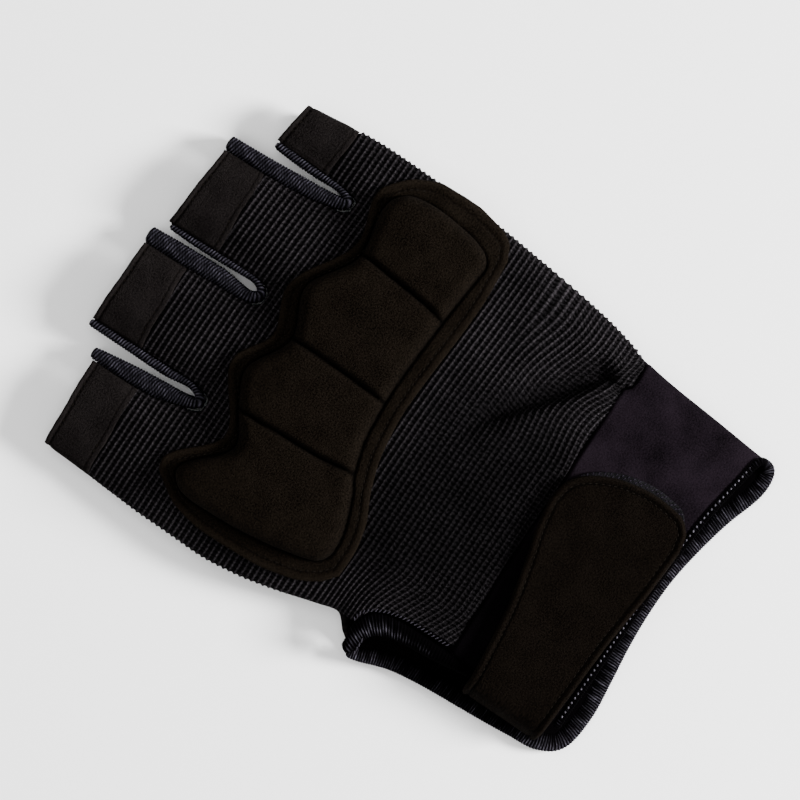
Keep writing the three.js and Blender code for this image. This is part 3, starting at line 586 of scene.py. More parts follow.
BROWN, PURPLE = (0.0003, 0.0002, 0.0001), (0.0003, 0.0002, 0.0003)
TWIST = (1.6, 0.5), 0.37
SUEDES = {
    "palm_suede": ((0.0012, 0.0010, 0.0010), (0.0070, 0.0060, 0.0060)),
    "back_suede": ((0.0009, 0.0007, 0.0007), (0.0090, 0.0075, 0.0073)),
    "knuckle_suede": (BROWN, (0.0062, 0.0045, 0.0031)),
    "strap_suede": (BROWN, (0.0040, 0.0029, 0.0021)),
}
THREADS = {
    "elastic_tape": ((0.0003, 0.0003, 0.0004), (0.056, 0.052, 0.068), (2.0, 0.4), 0.72, 2.3),
    "overlock_thread": (PURPLE, (0.096, 0.089, 0.112), *TWIST, 2.4),
    "bead_thread": ((0.0020, 0.0018, 0.0022), (0.118, 0.110, 0.130), *TWIST, 1.0),
    "seam_thread": (PURPLE, (0.046, 0.041, 0.052), *TWIST, 1.0),
    "loop_thread": (PURPLE, (0.025, 0.020, 0.029), *TWIST, 1.0),
    "sewing_thread": ((0.0008, 0.0006, 0.0005), (0.0105, 0.0085, 0.0068), (2.5, 0.6), 0.48, 1.0),
}
FABRICS = {
    "stretch_fabric": ((0.0010, 0.0007, 0.0010), (0.0062, 0.0042, 0.0061), 2.2, 0.00012),
    "loop_pile": ((0.0008, 0.0008, 0.0009), (0.008, 0.0075, 0.0085), 2.0, 0.0005),
}
FINISHES = {"rib_knit": knit_finish()}
for make, looks in ((suede_finish, SUEDES), (thread_finish, THREADS), (fabric_finish, FABRICS)):
    FINISHES.update({name: make(name, *values) for name, values in looks.items()})
print("finishes:", len(FINISHES))


def finish_piece(piece, slot, *nodes, look=None):
    piece.data.materials.append(FINISHES[look or slot])
    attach(piece, "root")
    if nodes:
        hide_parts(*nodes)
    return piece

# %% [markdown]
# ## One stitch, sewn many times
# A stitch is a short plump grain of thread. It is shaped once, and every seam lays copies of it along
# a line: `stitch_row` joins them into one piece, so the glove keeps few objects.

# %% Stitch helpers
bpy.ops.object.select_all(action="DESELECT")
bpy.ops.mesh.primitive_uv_sphere_add(segments=8, ring_count=5, radius=1.0, location=(0, 0, 0))
grain = bpy.context.object
GRAIN_POINTS = np.array([corner.co[:] for corner in grain.data.vertices])
GRAIN_FACES = sorted(list(face.vertices) for face in grain.data.polygons)
bpy.data.objects.remove(grain)
OWN_PLACE = 7.3


def spots_along(line, pitch):
    gone = lengths_along(line)
    at = np.arange(pitch / 2, gone[-1], pitch)
    place = lambda where: np.stack([np.interp(where, gone, column) for column in line.T], axis=1)
    return place(at), unit(place(at + 0.2) - place(at - 0.2))


def stitch_row(name, lines, pitch, size, look, lean=0.0):
    x, y, z = (GRAIN_POINTS * size / 2).T[:, :, None]
    points, faces, corner_uv = [], [], []
    for line in lines:
        spots, ways = spots_along(line, pitch)
        side = unit(np.cross((0, 0, 1), ways))
        forward = ways * np.cos(lean) + side * np.sin(lean)
        side = unit(np.cross((0, 0, 1), forward))
        for number, (spot_at, ahead, beside) in enumerate(zip(spots, forward, side)):
            faces += [[corner + len(points) for corner in face] for face in GRAIN_FACES]
            own = OWN_PLACE * number
            corner_uv += [(2 * x[at, 0] + own, 2 * y[at, 0]) for face in GRAIN_FACES for at in face]
            points += (spot_at + x * ahead + y * beside + z * np.cross(ahead, beside)).tolist()
    row = make_piece(name, np.array(points), faces, corner_uv, {"valley": np.zeros(len(points))})
    return finish_piece(row, "overlock_thread", look=look)


def inset(line, distance):
    ahead = np.gradient(line, axis=0)
    inward = unit(np.stack([-ahead[:, 1], ahead[:, 0]], axis=1))
    moved = line + inward * distance
    return moved[distance_to(in_plan(*moved.T), in_plan(*line.T)) > 0.93 * distance]


def border(point_at, *legs):
    line = np.concatenate([np.stack(point_at(u, v), axis=1) for u, v in legs])
    return line[np.r_[True, np.linalg.norm(np.diff(line, axis=0), axis=1) > 0.02]]


def lift_line(line, lift):
    return np.column_stack([line, back_height(line[:, 0], line[:, 1]) + lift])


print("one stitch has", len(GRAIN_FACES), "faces")

# %% [markdown]
# ## The knit back
# The rows of the grid follow the ribs, six rows to a rib, and its columns follow the fingers and
# the slits. Each row can then be lifted or lowered whole, which gives clean ribs. Cells in the
# slits, past the hems and past the wrist seam are cut out. Near the bands of suede and at the
# seam the knit dips, because there it is sewn under.

# %% Where the knit's columns stand
FINGERS = table(
    "hem_left hem_right tip_left tip_right",
    (58.0, 59.4, 71.5, 72.8), (64.4, 66.0, 78.8, 78.5), (61.9, 63.1, 76.4, 74.8),
    (50.0, 49.2, 65.3, 63.9),
)
KNIT_LEFT = table(
    "y x",
    (-46, -38.4), (-36, -38.6), (-30, -39.1), (-23, -40.4), (-19.5, -43.2), (-17.4, -47.2),
    (-13, -47.4),
)
WRIST_SEAM = table(
    "x y",
    (-50, -41.6), (-10, -41.0), (10, -41.0), (20, -40.5), (30, -40.5), (36, -40.6),
    (38.4, -40.4), (40.6, -42.2), (48, -42.1),
)
THUMB_TOP = -13.0
SIDE_REACH, SEWN_IN, SLIT_STEPS = 6.0, 0.6, 2
SIDE_SHARES = np.array([0, 0.004, 0.02, 0.05, 0.1, 0.18, 0.3, 0.46, 0.68])
SIDES = SIDE_SHARES * SIDE_REACH


def knit_left(y):
    return np.where(y > THUMB_TOP, left_edge(y), read(KNIT_LEFT, y, "x"))


def hand_columns(*finger_steps):
    columns = []
    for k, steps in enumerate(finger_steps):
        first = 0 if k == 0 else 1
        last = steps if k == 3 else steps - 1
        columns += [("finger", k, i / steps) for i in range(first, last + 1)]
        if k < 3:
            columns += [("slit", k, i / SLIT_STEPS) for i in range(SLIT_STEPS + 1)]
    return columns


def column_x(column, y, left_end, right_end, tuck=0.0):
    kind, k, share = column
    if kind == "slit":
        return blend(slit_edge(SLITS[k], "left", y, tuck), slit_edge(SLITS[k], "right", y, tuck), share)
    start = left_end if k == 0 else slit_edge(SLITS[k - 1], "right", y, tuck)
    end = right_end if k == 3 else slit_edge(SLITS[k], "left", y, tuck)
    return blend(start, end, share)


def finger_lines(columns, key, extra=0):
    lines = []
    for kind, k, share in columns:
        if kind == "slit":
            k, share = (k, 1.0) if share < 0.5 else (k + 1, 0.0)
        lines.append(blend(FINGERS[f"{key}_left"][k], FINGERS[f"{key}_right"][k], share))
    return np.pad(lines, (len(SIDES), len(SIDES) + extra), mode="edge")


def across_hand(columns, y, left, right):
    x = np.zeros_like(y)
    for i, offset in enumerate(SIDES):
        x[:, i] = left(y[:, i]) + offset
        x[:, -1 - i] = right(y[:, -1 - i]) - offset
    for i, column in enumerate(columns, len(SIDES)):
        at = y[:, i]
        x[:, i] = column_x(column, at, left(at) + SIDE_REACH, right(at) - SIDE_REACH, SEWN_IN)
    return x


def cut_slits(cut, middle_y, columns):
    for i, (kind, k, share) in enumerate(columns, len(SIDES)):
        if kind == "slit" and share < 1:
            cut[:, i] |= middle_y[:, i] > slit_bottom(SLITS[k]) + SEWN_IN

# %% Rib lines
ROWS_PER_RIB = 6
RIB_HEIGHT = 0.56
GATHER_PITCH = 1.3


def rib_droop(x, y):
    across = fold_place(x, y)[1]
    over = smooth(across, -1.0, 2.0)
    above = 3.6 * smooth(x, 27, 46) * smooth(-y, 6, 24)
    below = 2.6 * smooth(x, 29, 40) - 1.8 * bell(x, 25, 8)
    folded = smooth(-y, 6, 16) * (over * above + (1 - over) * below * smooth(x, 8, 18))
    thumb_drop = 4.5 * smooth(-x, 29, 43) * smooth(-y, 6, 24)
    return 1.7 * smooth(x, 0, 52) + folded - thumb_drop


# Painted shade in the knit's colour: darker in the fold's groove and pit, in the gathers by the wrist seam
# and over a broad patch of the back below the knuckle patch.
def knit_shade(x, y, near_seam, gather):
    folded = (1 - 0.45 * fold_shade(x, y)) * (1 - 0.3 * near_seam * (0.5 - 0.5 * gather))
    middle = smooth(-y, -4, 12) * (1 - smooth(x, 2, 34)) * smooth(x, -44, -24)
    return folded * (1 - 0.32 * middle)


def knit_relief(x, y, rib, hem_y):
    crest = 0.5 + 0.5 * np.cos(2 * np.pi * rib / RIB_PITCH)
    seam = read(WRIST_SEAM, x)
    dip = 0.9 * smooth(y, hem_y - 0.9, hem_y + 1.0) + 0.35 * (1 - smooth(y, seam - 0.2, seam + 1.2))
    for slit in SLITS:
        outside = np.maximum(slit_edge(slit, "left", y) - x, x - slit_edge(slit, "right", y))
        dip = dip + 0.6 * (1 - smooth(outside, -0.6, 1.0)) * (y > slit_bottom(slit) - 1)
    near_seam = np.exp(-np.maximum(y - seam, 0) / 5.0) * smooth(x, 30, 37)
    gather = np.cos(2 * np.pi * (x + 0.25 * y) / GATHER_PITCH)
    waves = 0.22 * np.sin(x / 6.5 + 0.7 * np.sin(y / 9)) * np.sin(y / 10 - x / 21)
    from_side = np.minimum(x - knit_left(y), right_edge(y) - x)
    ribs = RIB_HEIGHT * blend(0.75, 1, smooth(from_side, 0.1, 2.6)) * (crest**1.4 - 0.5)
    relief = ribs - dip + 0.2 * near_seam * gather + waves
    # The crest mark is the rib crest times this painted shade.
    return relief, crest * knit_shade(x, y, near_seam, gather)

# %% Build the knit back
KNIT_FROM_TO = -46, 72
SETTLING_ROUNDS = 10
TUCK = 2.6
KNIT_THICKNESS = 1.3
WRAP_UNDER = np.array([[0.04, 0.3, 0.8, 1.5]])


def knit_back():
    columns = hand_columns(18, 20, 20, 10)
    rib = np.arange(*KNIT_FROM_TO, RIB_PITCH / ROWS_PER_RIB)[:, None]
    y = np.repeat(rib, len(columns) + 2 * len(SIDES), axis=1)
    for _ in range(SETTLING_ROUNDS):
        x = across_hand(columns, y, knit_left, right_edge)
        y = blend(y, rib - rib_droop(x, y), 0.6)
    wrap_x = right_edge(y[:, -1])[:, None] - WRAP_UNDER
    wrap_y = np.repeat(y[:, -1:], wrap_x.shape[1], axis=1)
    surface = np.concatenate([on_back(x, y), on_palm(wrap_x, wrap_y)], axis=1)
    hem = finger_lines(columns, "hem", wrap_x.shape[1])
    x, y = surface[..., 0], surface[..., 1]
    relief, crest = knit_relief(x, y, rib, hem)
    middle_y = (y[:-1] + y[1:]) / 2
    past_hem = middle_y[:, :-1] > (hem[:-1] + hem[1:]) / 2 + TUCK
    cut = past_hem | (middle_y[:, :-1] < read(WRIST_SEAM, x[:-1, :-1]) - 0.5)
    cut_slits(cut, middle_y, columns)
    along = lengths_along(surface)
    centre = np.argmin(np.abs(x), axis=1)
    along = along - along[np.arange(len(along)), centre][:, None]
    uv = np.stack([along, np.broadcast_to(rib, along.shape)], axis=-1)
    return cloth("knit_back", surface, KNIT_THICKNESS, 0.0, relief, cut, uv, {"crest": crest})


knit = finish_piece(knit_back(), "rib_knit", "back_panel")

# %% [markdown]
# ## The suede palm
# The palm lies under the hand on the same columns, so its slits meet those of the knit. It is seen
# from the sides and from below, where suede wrinkles softly, so it gets gentle waves.

# %% Build the palm
KNIT_WRAP = 0.7
PALM_ROW = 0.8
PALM_THICKNESS = 1.8
HEM_PROUD = 0.45
SEAM_Y = -42.4
UNDER_BINDING = 1.9


def palm_left(y):
    bound = 1 - smooth(y, -22, -17)
    return left_edge(y) + bound * UNDER_BINDING


def palm_right(y):
    return right_edge(y) - KNIT_WRAP - 2 * SEAM_GAP


def suede_palm():
    columns = hand_columns(14, 14, 14, 8)
    rows = np.arange(SEAM_Y + 0.05, 80, PALM_ROW)[:, None]
    tip = finger_lines(columns, "tip") - HEM_PROUD
    y = np.minimum(rows, tip + 0.01 * np.arange(len(rows))[:, None])
    surface = on_palm(across_hand(columns, y, palm_left, palm_right), y)[:, ::-1]
    x, y = surface[..., 0], surface[..., 1]
    middle_y = (y[:-1] + y[1:]) / 2
    tip = tip[::-1]
    cut = middle_y[:, :-1] > np.minimum(tip[:-1], tip[1:])
    cut_slits(cut[:, ::-1], middle_y[:, ::-1], columns)
    waves = np.minimum(0.12 * np.sin(x / 7 + y / 11) * np.sin(y / 8), 0)
    marks = {"groove": 0 * x, "rim": 0 * x}
    # Painted shade: the palm's inside face is darkened.
    inner = {"groove": 0.85 + 0 * x, "rim": 0 * x}
    return cloth("suede_palm", surface, PALM_THICKNESS, 0.0, waves, cut, marks=marks, inner_marks=inner)


palm = finish_piece(suede_palm(), "palm_suede", "palm_panel")

# %% [markdown]
# ## Suede bands at the finger mouths
# Each band is folded over at the mouth, which leaves a thicker lip with a sewn groove behind it,
# and a second line of stitches holds its raw edge to the knit. Its rows crowd at those two lines.

# %% Build the four bands
HEM_THICKNESS = 1.2
HEM_STAND = 0.5
LIP_WIDTH = 1.45
RAW_EDGE = 1.45
BAND_TUCK, BAND_GAP = 0.35, 0.1
FINGER_NAMES = ("index", "middle", "ring", "little")
BAND_LENGTHS = FINGERS["tip_left"] - FINGERS["hem_left"]


def rows_with_edges(length, near):
    inner = np.linspace(near[-1], length - near[-1], max(3, int((length - 2 * near[-1]) / 0.8)))
    return np.concatenate([near[:-1], inner, length - near[::-1][1:]])


EDGE_ROWS = np.array([0, 0.08, 0.22, 0.42, 0.65, 0.9, 1.1, 1.25, 1.4, 1.55, 1.7, 1.9, 2.2, 2.7, 3.4])


def band_grid(k, go):
    low_left, low_right, high_left, high_right = (FINGERS[key][k] for key in FINGERS)
    left = lambda y: left_edge(y) + SIDE_REACH
    right = lambda y: right_edge(y) - SIDE_REACH
    places = [
        lambda y, share=share: column_x(("finger", k, share), y, left(y), right(y), BAND_TUCK)
        for share in np.linspace(0, 1, 33)
    ]
    if k == 0:
        places = [lambda y, off=off: left_edge(y) + off + BAND_GAP for off in SIDES] + places
    if k == 3:
        places += [lambda y, off=off: right_edge(y) - off - BAND_GAP for off in SIDES[::-1]]
    y = low_left + go + np.zeros(len(places))
    for _ in range(3):
        x = np.stack([place(y[:, i]) for i, place in enumerate(places)], axis=1)
        width_share = (x - x[:, :1]) / (x[:, -1:] - x[:, :1])
        low, high = blend(low_left, low_right, width_share), blend(high_left, high_right, width_share)
        uneven = 0.12 * np.sin(x * 0.47 + 2 * k) + 0.05 * np.sin(x * 1.7 + k)
        y = blend(low + uneven, high + 0.5 * uneven, go / BAND_LENGTHS[k])
    return x, y


def finger_band(k):
    go = rows_with_edges(BAND_LENGTHS[k], EDGE_ROWS)[:, None]
    x, y = band_grid(k, go)
    from_tip = BAND_LENGTHS[k] - go + 0 * x
    edge = np.minimum(np.abs(x - x[:, :1]), np.abs(x - x[:, -1:]))
    lip = smooth(from_tip, LIP_WIDTH, LIP_WIDTH * 0.5)
    groove = bell(from_tip, LIP_WIDTH + 0.1, 0.24) + 0.7 * bell(go, RAW_EDGE, 0.22)
    wrinkle = 0.09 * np.sin(x * 0.9 + k) * np.sin(y * 0.55 + x * 0.2) + 0.06 * np.sin(x * 0.35 - y * 0.8)
    relief = 0.2 * lip - 0.26 * groove + wrinkle - 0.5 * (1 - smooth(edge, 0, 1.1))
    # Painted shade in the sewn grooves, and a painted highlight that also stands for wear on the folded lip.
    marks = {"groove": 0.75 * np.clip(groove, 0, 1), "rim": 0.8 * lip}
    return cloth(f"band_{FINGER_NAMES[k]}", on_back(x, y), HEM_THICKNESS, HEM_STAND, relief, marks=marks)


band_lines = []
for k, finger_name in enumerate(FINGER_NAMES):
    band = finish_piece(finger_band(k), "back_suede", f"finger_hem_{finger_name}")
    seams = np.array([[RAW_EDGE], [BAND_LENGTHS[k] - LIP_WIDTH - 0.1]])
    lines = np.stack(band_grid(k, seams), axis=-1)[:, 2:-2]
    band_lines += [lift_line(line, HEM_STAND - 0.18) for line in lines]
stitch_row("band_stitches", band_lines, pitch=1.5, size=(1.0, 0.26, 0.2), look="sewing_thread")

# %% [markdown]
# ## Elastic tape in the slits
# A ribbed elastic tape walls each slit: it runs down one finger, bends at the bottom and comes up
# the next. Its top shows as a roll, wide on one leg and narrow on the other, with ribs 0.8 mm
# apart that lean slightly. It reaches from the palm to just above the back.

# %% Build the three tapes
TAPE_FLOOR = 0.5
TAPE_PROUD = 0.5
TAPE_RIB = 0.8
TAPE_BEND_HALF = 1.35
TAPE_FILL = ((0.45, 0.35), (0.5, 0.22), (0.35, 0.28))


def leg_stops(slit, side, most):
    leg, bend = slit[side], slit["bend"][1]
    fill = most * smooth(leg["y"], bend + 2, bend + 9)
    fill = fill * (1 - 0.8 * smooth(leg["y"], bend + 18, bend + 28))
    sign = 1 if side == "left" else -1
    return list(zip(leg["x"] + sign * fill, leg["y"], leg["half"] + fill))


def slit_tape(k):
    slit = SLITS[k]
    left, right = (leg_stops(slit, side, most) for side, most in zip(("left", "right"), TAPE_FILL[k]))
    stops = [*left[::-1], (*slit["bend"], TAPE_BEND_HALF), *right]
    _, path = smooth_path(stops, TAPE_RIB / 5)
    x, y, half = path.T
    top = back_height(x, y) + TAPE_PROUD
    centres = np.stack([x, y, (top + TAPE_FLOOR) / 2], axis=1)
    ribs = {"pitch": TAPE_RIB, "ridge": 0.26, "lean": 0.34, "sides": 22, "power": 3.0}
    return roll(f"slit_tape_{k + 1}", centres, half, (top - TAPE_FLOOR) / 2, **ribs)


for k in range(3):
    finish_piece(slit_tape(k), "elastic_tape", f"finger_gusset_{k + 1}")

# %% [markdown]
# ## The padded knuckle patch
# Foam is sewn between two layers of suede. The seams pull the suede down to narrow grooves, and
# between them it stands up in four cells with steep sides and nearly flat tops. So the patch is one
# closed piece: a flange with a turned, topstitched rim, and a height that depends on how far each
# point is from the nearest seam.

# %% The patch's outline and its seams
PATCH_TOP = table(
    "x y",
    (-49.4, 37.5), (-40, 44.4), (-26.3, 34.6), (-9.4, 43.8), (1.3, 38.8), (13, 42.5),
    (32.5, 34.0), (44.5, 37.0), (55.6, 32.0),
)
PATCH_BOTTOM = table(
    "x y",
    (-45, -8.2), (-34, -8.5), (-26.3, -7.2), (-17.5, -3.2), (-8, -0.3), (4, 0.9), (35, -0.4),
    (52, 0.8),
)
PATCH_ENDS = table(
    "v left right",
    (0.0, -39.5, 48.5), (0.06, -43.2, 52.4), (0.2, -46.6, 54.2), (0.45, -48.8, 55.2),
    (0.75, -49.3, 55.0), (0.92, -47.8, 52.6), (1.0, -43.0, 46.5),
)
CELL_SIDES = table(
    "y edge0 edge1 edge2 edge3 edge4",
    (-5, -38.5, -16.0, 2.2, 26.3, 45.0), (3, -40.9, -16.4, 2.3, 26.6, 46.5),
    (12, -42.8, -17.7, 2.7, 28.1, 49.2), (23, -44.1, -18.3, 3.0, 29.1, 50.1),
    (32, -44.4, -18.9, 3.0, 29.8, 48.6), (40, -43.0, -18.8, 3.0, 29.8, 46.4),
)
CELL_TOP = table(
    "x y",
    (-44.4, 38.6), (-40, 39.9), (-27, 30.9), (-19, 35.5), (-10, 39.5), (2.8, 34.2), (15, 38.6),
    (29.6, 31.6), (42, 33.4), (49.5, 31.6),
)
CELL_BOTTOM = table(
    "x y",
    (-43, -3.4), (-34, -3.8), (-21.3, 0.0), (-16.9, 2.5), (-5, 5.6), (8, 6.3), (26.5, 5.5),
    (45, 4.0),
)

# %% How far a point is inside a cell
CORNER = 3.2


def rounded_inside(a, b, corner):
    inner = np.minimum(a, b)
    near = (a < corner) & (b < corner)
    bent = corner - np.hypot(corner - a, corner - b)
    return np.where(near, bent, inner)


def cell_depths(x, y):
    up = read(CELL_TOP, x) - y
    down = y - read(CELL_BOTTOM, x)
    ends = [read(CELL_SIDES, y, f"edge{n}") for n in range(5)]
    left, right = x - ends[0], ends[4] - 0.7 - x
    slope_up = np.hypot(1, (read(CELL_TOP, x + 0.5) - read(CELL_TOP, x - 0.5)))
    outer = rounded_inside(np.minimum(up / slope_up, down * 0.97), np.minimum(left, right), CORNER)
    divide = np.min([np.abs(x - ends[n]) for n in (1, 2, 3)], axis=0)
    return outer, divide

# %% Build the patch
PATCH_LIFT = 0.45
PATCH_THICKNESS = 1.3
PATCH_STAND = PATCH_LIFT + PATCH_THICKNESS
SUNK = 0.12
PAD_HEIGHT = 4.7
CELL_SIDE, DIVIDE_SIDE = 3.9, 1.7
RIM_BEAD = 1.6
TOPSTITCH_IN = 2.3


def pillow(depth, width, power=2.4):
    return np.sqrt(1 - (1 - np.clip(depth / width, 0, 1)) ** power)


def rim_reach(x, y, left_too=True):
    flat = in_plan(x, y)
    rim = np.concatenate([flat[0], flat[-1], flat[:, -1], *([flat[:, 0]] if left_too else [])])
    return distance_to(flat.reshape(-1, 3), rim).reshape(x.shape)


def eased(count, ease):
    t = np.linspace(0, 1, count)
    return blend(t, 0.5 - 0.5 * np.cos(np.pi * t), ease)


def patch_point(u, v):
    x = blend(read(PATCH_ENDS, v, "left"), read(PATCH_ENDS, v, "right"), u)
    return x, blend(read(PATCH_BOTTOM, x), read(PATCH_TOP, x), v)


def knuckle_pad():
    x, y = patch_point(eased(240, 0.35)[None, :], eased(136, 0.75)[:, None])
    edge = rim_reach(x, y)
    outer, divide = cell_depths(x, y)
    side = pillow(outer, CELL_SIDE)
    rise = side * blend(0.3, 1, pillow(divide, DIVIDE_SIDE, 2.0))
    puff = 0.5 * smooth(np.minimum(outer, divide), 0, 9)
    pad = np.where(outer > 0, PAD_HEIGHT * rise + puff, 0)
    bead = 0.16 * pillow(edge, 0.9) * (1 - smooth(edge, RIM_BEAD * 0.8, RIM_BEAD * 1.3))
    stitch_line = bell(edge, TOPSTITCH_IN, 0.3)
    seam_line = bell(outer, -0.1, 0.42)
    soft = 0.07 * np.sin(x * 0.8 + np.sin(y * 0.5)) * np.sin(y * 0.7 + np.sin(x * 0.4))
    dents = 0.16 * np.sin(x * 0.31 + 1) * np.sin(y * 0.27 + 0.5 * np.sin(x * 0.2))
    relief = pad + bead - 0.24 * stitch_line - 0.55 * seam_line + soft + dents
    # Painted shade: the groove mark darkens the topstitch line, the seam round the cells and the dividers
    # between them.
    divide_line = np.where(outer > -0.2, bell(divide, 0, 0.5), 0)
    groove = np.clip(0.35 * stitch_line + 0.85 * seam_line + 0.95 * divide_line, 0, 1)
    # Painted highlight, which also stands for wear, on the turned rim.
    lit = 0.8 * bell(edge, RIM_BEAD * 0.45, 0.7)
    marks = {"groove": groove, "rim": lit}
    return cloth("knuckle_pad", on_back(x, y), PATCH_THICKNESS, PATCH_STAND, relief, marks=marks)


pad_nodes = ["knuckle_patch"] + [f"knuckle_cell_{n}" for n in range(1, 5)]
knuckles = finish_piece(knuckle_pad(), "knuckle_suede", *pad_nodes)

side = np.linspace(0, 1, 400)
zero, one = 0 * side, 0 * side + 1
round_it = border(patch_point, (side, zero), (one, side), (side[::-1], one), (zero, side[::-1]))
topstitch = lift_line(inset(round_it, TOPSTITCH_IN), PATCH_STAND - SUNK)
stitch_row("patch_stitches", [topstitch], pitch=1.6, size=(1.0, 0.34, 0.26), look="sewing_thread")

# %% [markdown]
# ## The wrist cuff
# The cuff is one sheet of smooth stretch cloth. It starts at a free edge under the strap, covers
# the back of the wrist, turns round the little-finger side and comes back under the palm.

# %% Build the cuff
CUFF_THICKNESS = 1.9
SLIT_EDGE_X = -41.0
BACK_RIM_WIDTH = 1.9
PALM_MOUTH = table(
    "x y",
    (-47.9, -73.0), (-46.4, -76.8), (-43.6, -79.5), (-38, -80.8), (-27.5, -80.0), (-5, -77.9),
    (5, -78.1), (22.5, -80.9), (41, -85.4), (43.6, -84.6),
)
BACK_MOUTH = table("x y", (-48, -75.3), (0, -75.8), (20, -76.7), (40, -79.7), (44, -80.2))
MOUTH_Y = -78.0
CUFF_UNDER = 1.6
RIM_WIDTH = 3.6


def back_sheet_end(x):
    return read(BACK_MOUTH, x) + BACK_RIM_WIDTH * 0.6


def palm_sheet_end(x):
    inward = 1.2 * (1 - smooth(x, -44, -34))
    return read(PALM_MOUTH, x - inward) + RIM_WIDTH * 0.45


def near_right(y, share=1.0):
    return right_edge(y) - SIDE_REACH * share


def near_left(y, share=1.0):
    return left_edge(y) + UNDER_BINDING + SIDE_REACH * share


def across_back(y, share):
    return blend(SLIT_EDGE_X, near_right(y), share)


def across_palm(y, share):
    return blend(near_right(y), near_left(y), share)


CUFF_ROWS = eased(48, 0.6)
CUFF_RUNS = [
    (on_back, np.linspace(0, 1, 53)[:-1], across_back, (0, 0)),
    (on_back, [1.0, *SIDE_SHARES[::-1]], near_right, (0.5, 0)),
    (on_palm, [*SIDE_SHARES[1:], 1.0], near_right, (0.5, 1)),
    (on_palm, np.linspace(0, 1, 49)[1:-1], across_palm, (1, 1)),
    (on_palm, [1.0, *SIDE_SHARES[::-1]], near_left, (1, 1)),
]


def cuff_strip(place, share, x_at, turned):
    mouth_x, seam_x = x_at(MOUTH_Y, share), x_at(SEAM_Y, share)
    turn = blend(*turned, share)
    end = blend(back_sheet_end(mouth_x), palm_sheet_end(mouth_x), turn)
    start = blend(read(WRIST_SEAM, seam_x) + CUFF_UNDER, SEAM_Y + 0.35, smooth(turn, 0.3, 0.7))
    y = blend(end, start, CUFF_ROWS)
    return place(x_at(y, share), y)


def cuff_sheet():
    spots = [(place, share, *rest) for place, shares, *rest in CUFF_RUNS for share in shares]
    surface = np.stack([cuff_strip(*each) for each in spots], axis=1)
    x, y = surface[..., 0], surface[..., 1]
    on_top = np.array([place is on_back for place, *_ in spots])[None, :]
    seam = read(WRIST_SEAM, x)
    dip = 1.5 * smooth(y, seam - 1.4, seam + 0.4)
    mouth = 0.8 * (1 - smooth(y, back_sheet_end(x), back_sheet_end(x) + 1.6))
    pull = 0.16 * np.sin(x * 0.55 + 0.4 * np.sin(y * 0.2)) * np.exp(-np.abs(seam - y) / 7)
    billow = 0.18 * np.sin((x + y) / 9.5) * np.sin((y - 0.5 * x) / 12)
    relief = np.where(on_top, pull + billow - dip - mouth, 0)
    surface[..., 2] -= np.where(on_top, 1.1 * smooth(y, seam - 1.2, seam + 0.6), 0)
    # Painted shadows on the cuff's top: the strap's shadow beside it and the knit edge's shadow along the
    # seam. The inside face gets painted shade.
    strap_shadow = 0.8 * smooth(-x, -2, 7)
    knit_edge_shadow = 0.75 * smooth(y, seam - 1.7, seam - 0.1)
    marks = {"groove": np.where(on_top, np.maximum(strap_shadow, knit_edge_shadow), 0.0)}
    uv = np.stack([lengths_along(surface), y], axis=-1)
    relief = np.maximum(relief, -0.9)
    return cloth("cuff_sheet", surface, CUFF_THICKNESS, 0.0, relief, None, uv, marks, {"groove": 0.9 + 0 * x})


cuff = finish_piece(cuff_sheet(), "stretch_fabric", "wrist_cuff")

# %% [markdown]
# ## The bound edge of the cuff
# Overlock thread covers the raw edge: a narrow row over the back of the mouth, which turns round
# the little-finger side into a broad roll along the palm side and up the thumb side.

# %% Build the binding
RIM_THICKNESS = 2.2
RIM_RIDGE = 0.68
RIM_OUT = 0.7
RIM_SIDES, ROWS_PER_RIDGE = 18, 6
HALF_BACK, HALF_PALM, BEADS_IN = 1.0, 2.35, 1.15


def binding_stops(x, y, height, half):
    return [*zip(*np.broadcast_arrays(x, y, height(x, y), half))]


def binding_path():
    over = lambda x, y: back_height(x, y) - CUFF_THICKNESS / 2 + 0.45
    under = lambda x, y: palm_height(x, y) + RIM_THICKNESS / 2 + 0.05
    x = np.arange(SLIT_EDGE_X, 38, 11)
    stops = binding_stops(x, read(BACK_MOUTH, x) + HALF_BACK - 0.2, over, HALF_BACK)
    stops += [(42.2, -79.6, 7.4, HALF_BACK), (43.2, -81.2, 5.0, 1.2), (41.6, -83.2, 2.4, HALF_PALM - 0.4)]
    x = np.arange(36, -35, -10)
    stops += binding_stops(x, read(PALM_MOUTH, x) + HALF_PALM - RIM_OUT, under, HALF_PALM)
    stops += [(-42.9, -77.8, 1.6, HALF_PALM)]
    y = np.arange(-73, -29, 7)
    stops += binding_stops(left_edge(y) + HALF_PALM - RIM_OUT, y, under, HALF_PALM)
    stops += [(-53.6, -23.6, 4.2, 1.8), (-54.7, -20.6, 5.1, 1.2)]
    return smooth_path(stops, RIM_RIDGE / ROWS_PER_RIDGE)[1]


def uneven_threads(stations, seed):
    ridge = np.round(np.arange(stations) / ROWS_PER_RIDGE).astype(int)
    return np.random.default_rng(seed).random((ridge[-1] + 1, 2))[ridge].T[..., None]


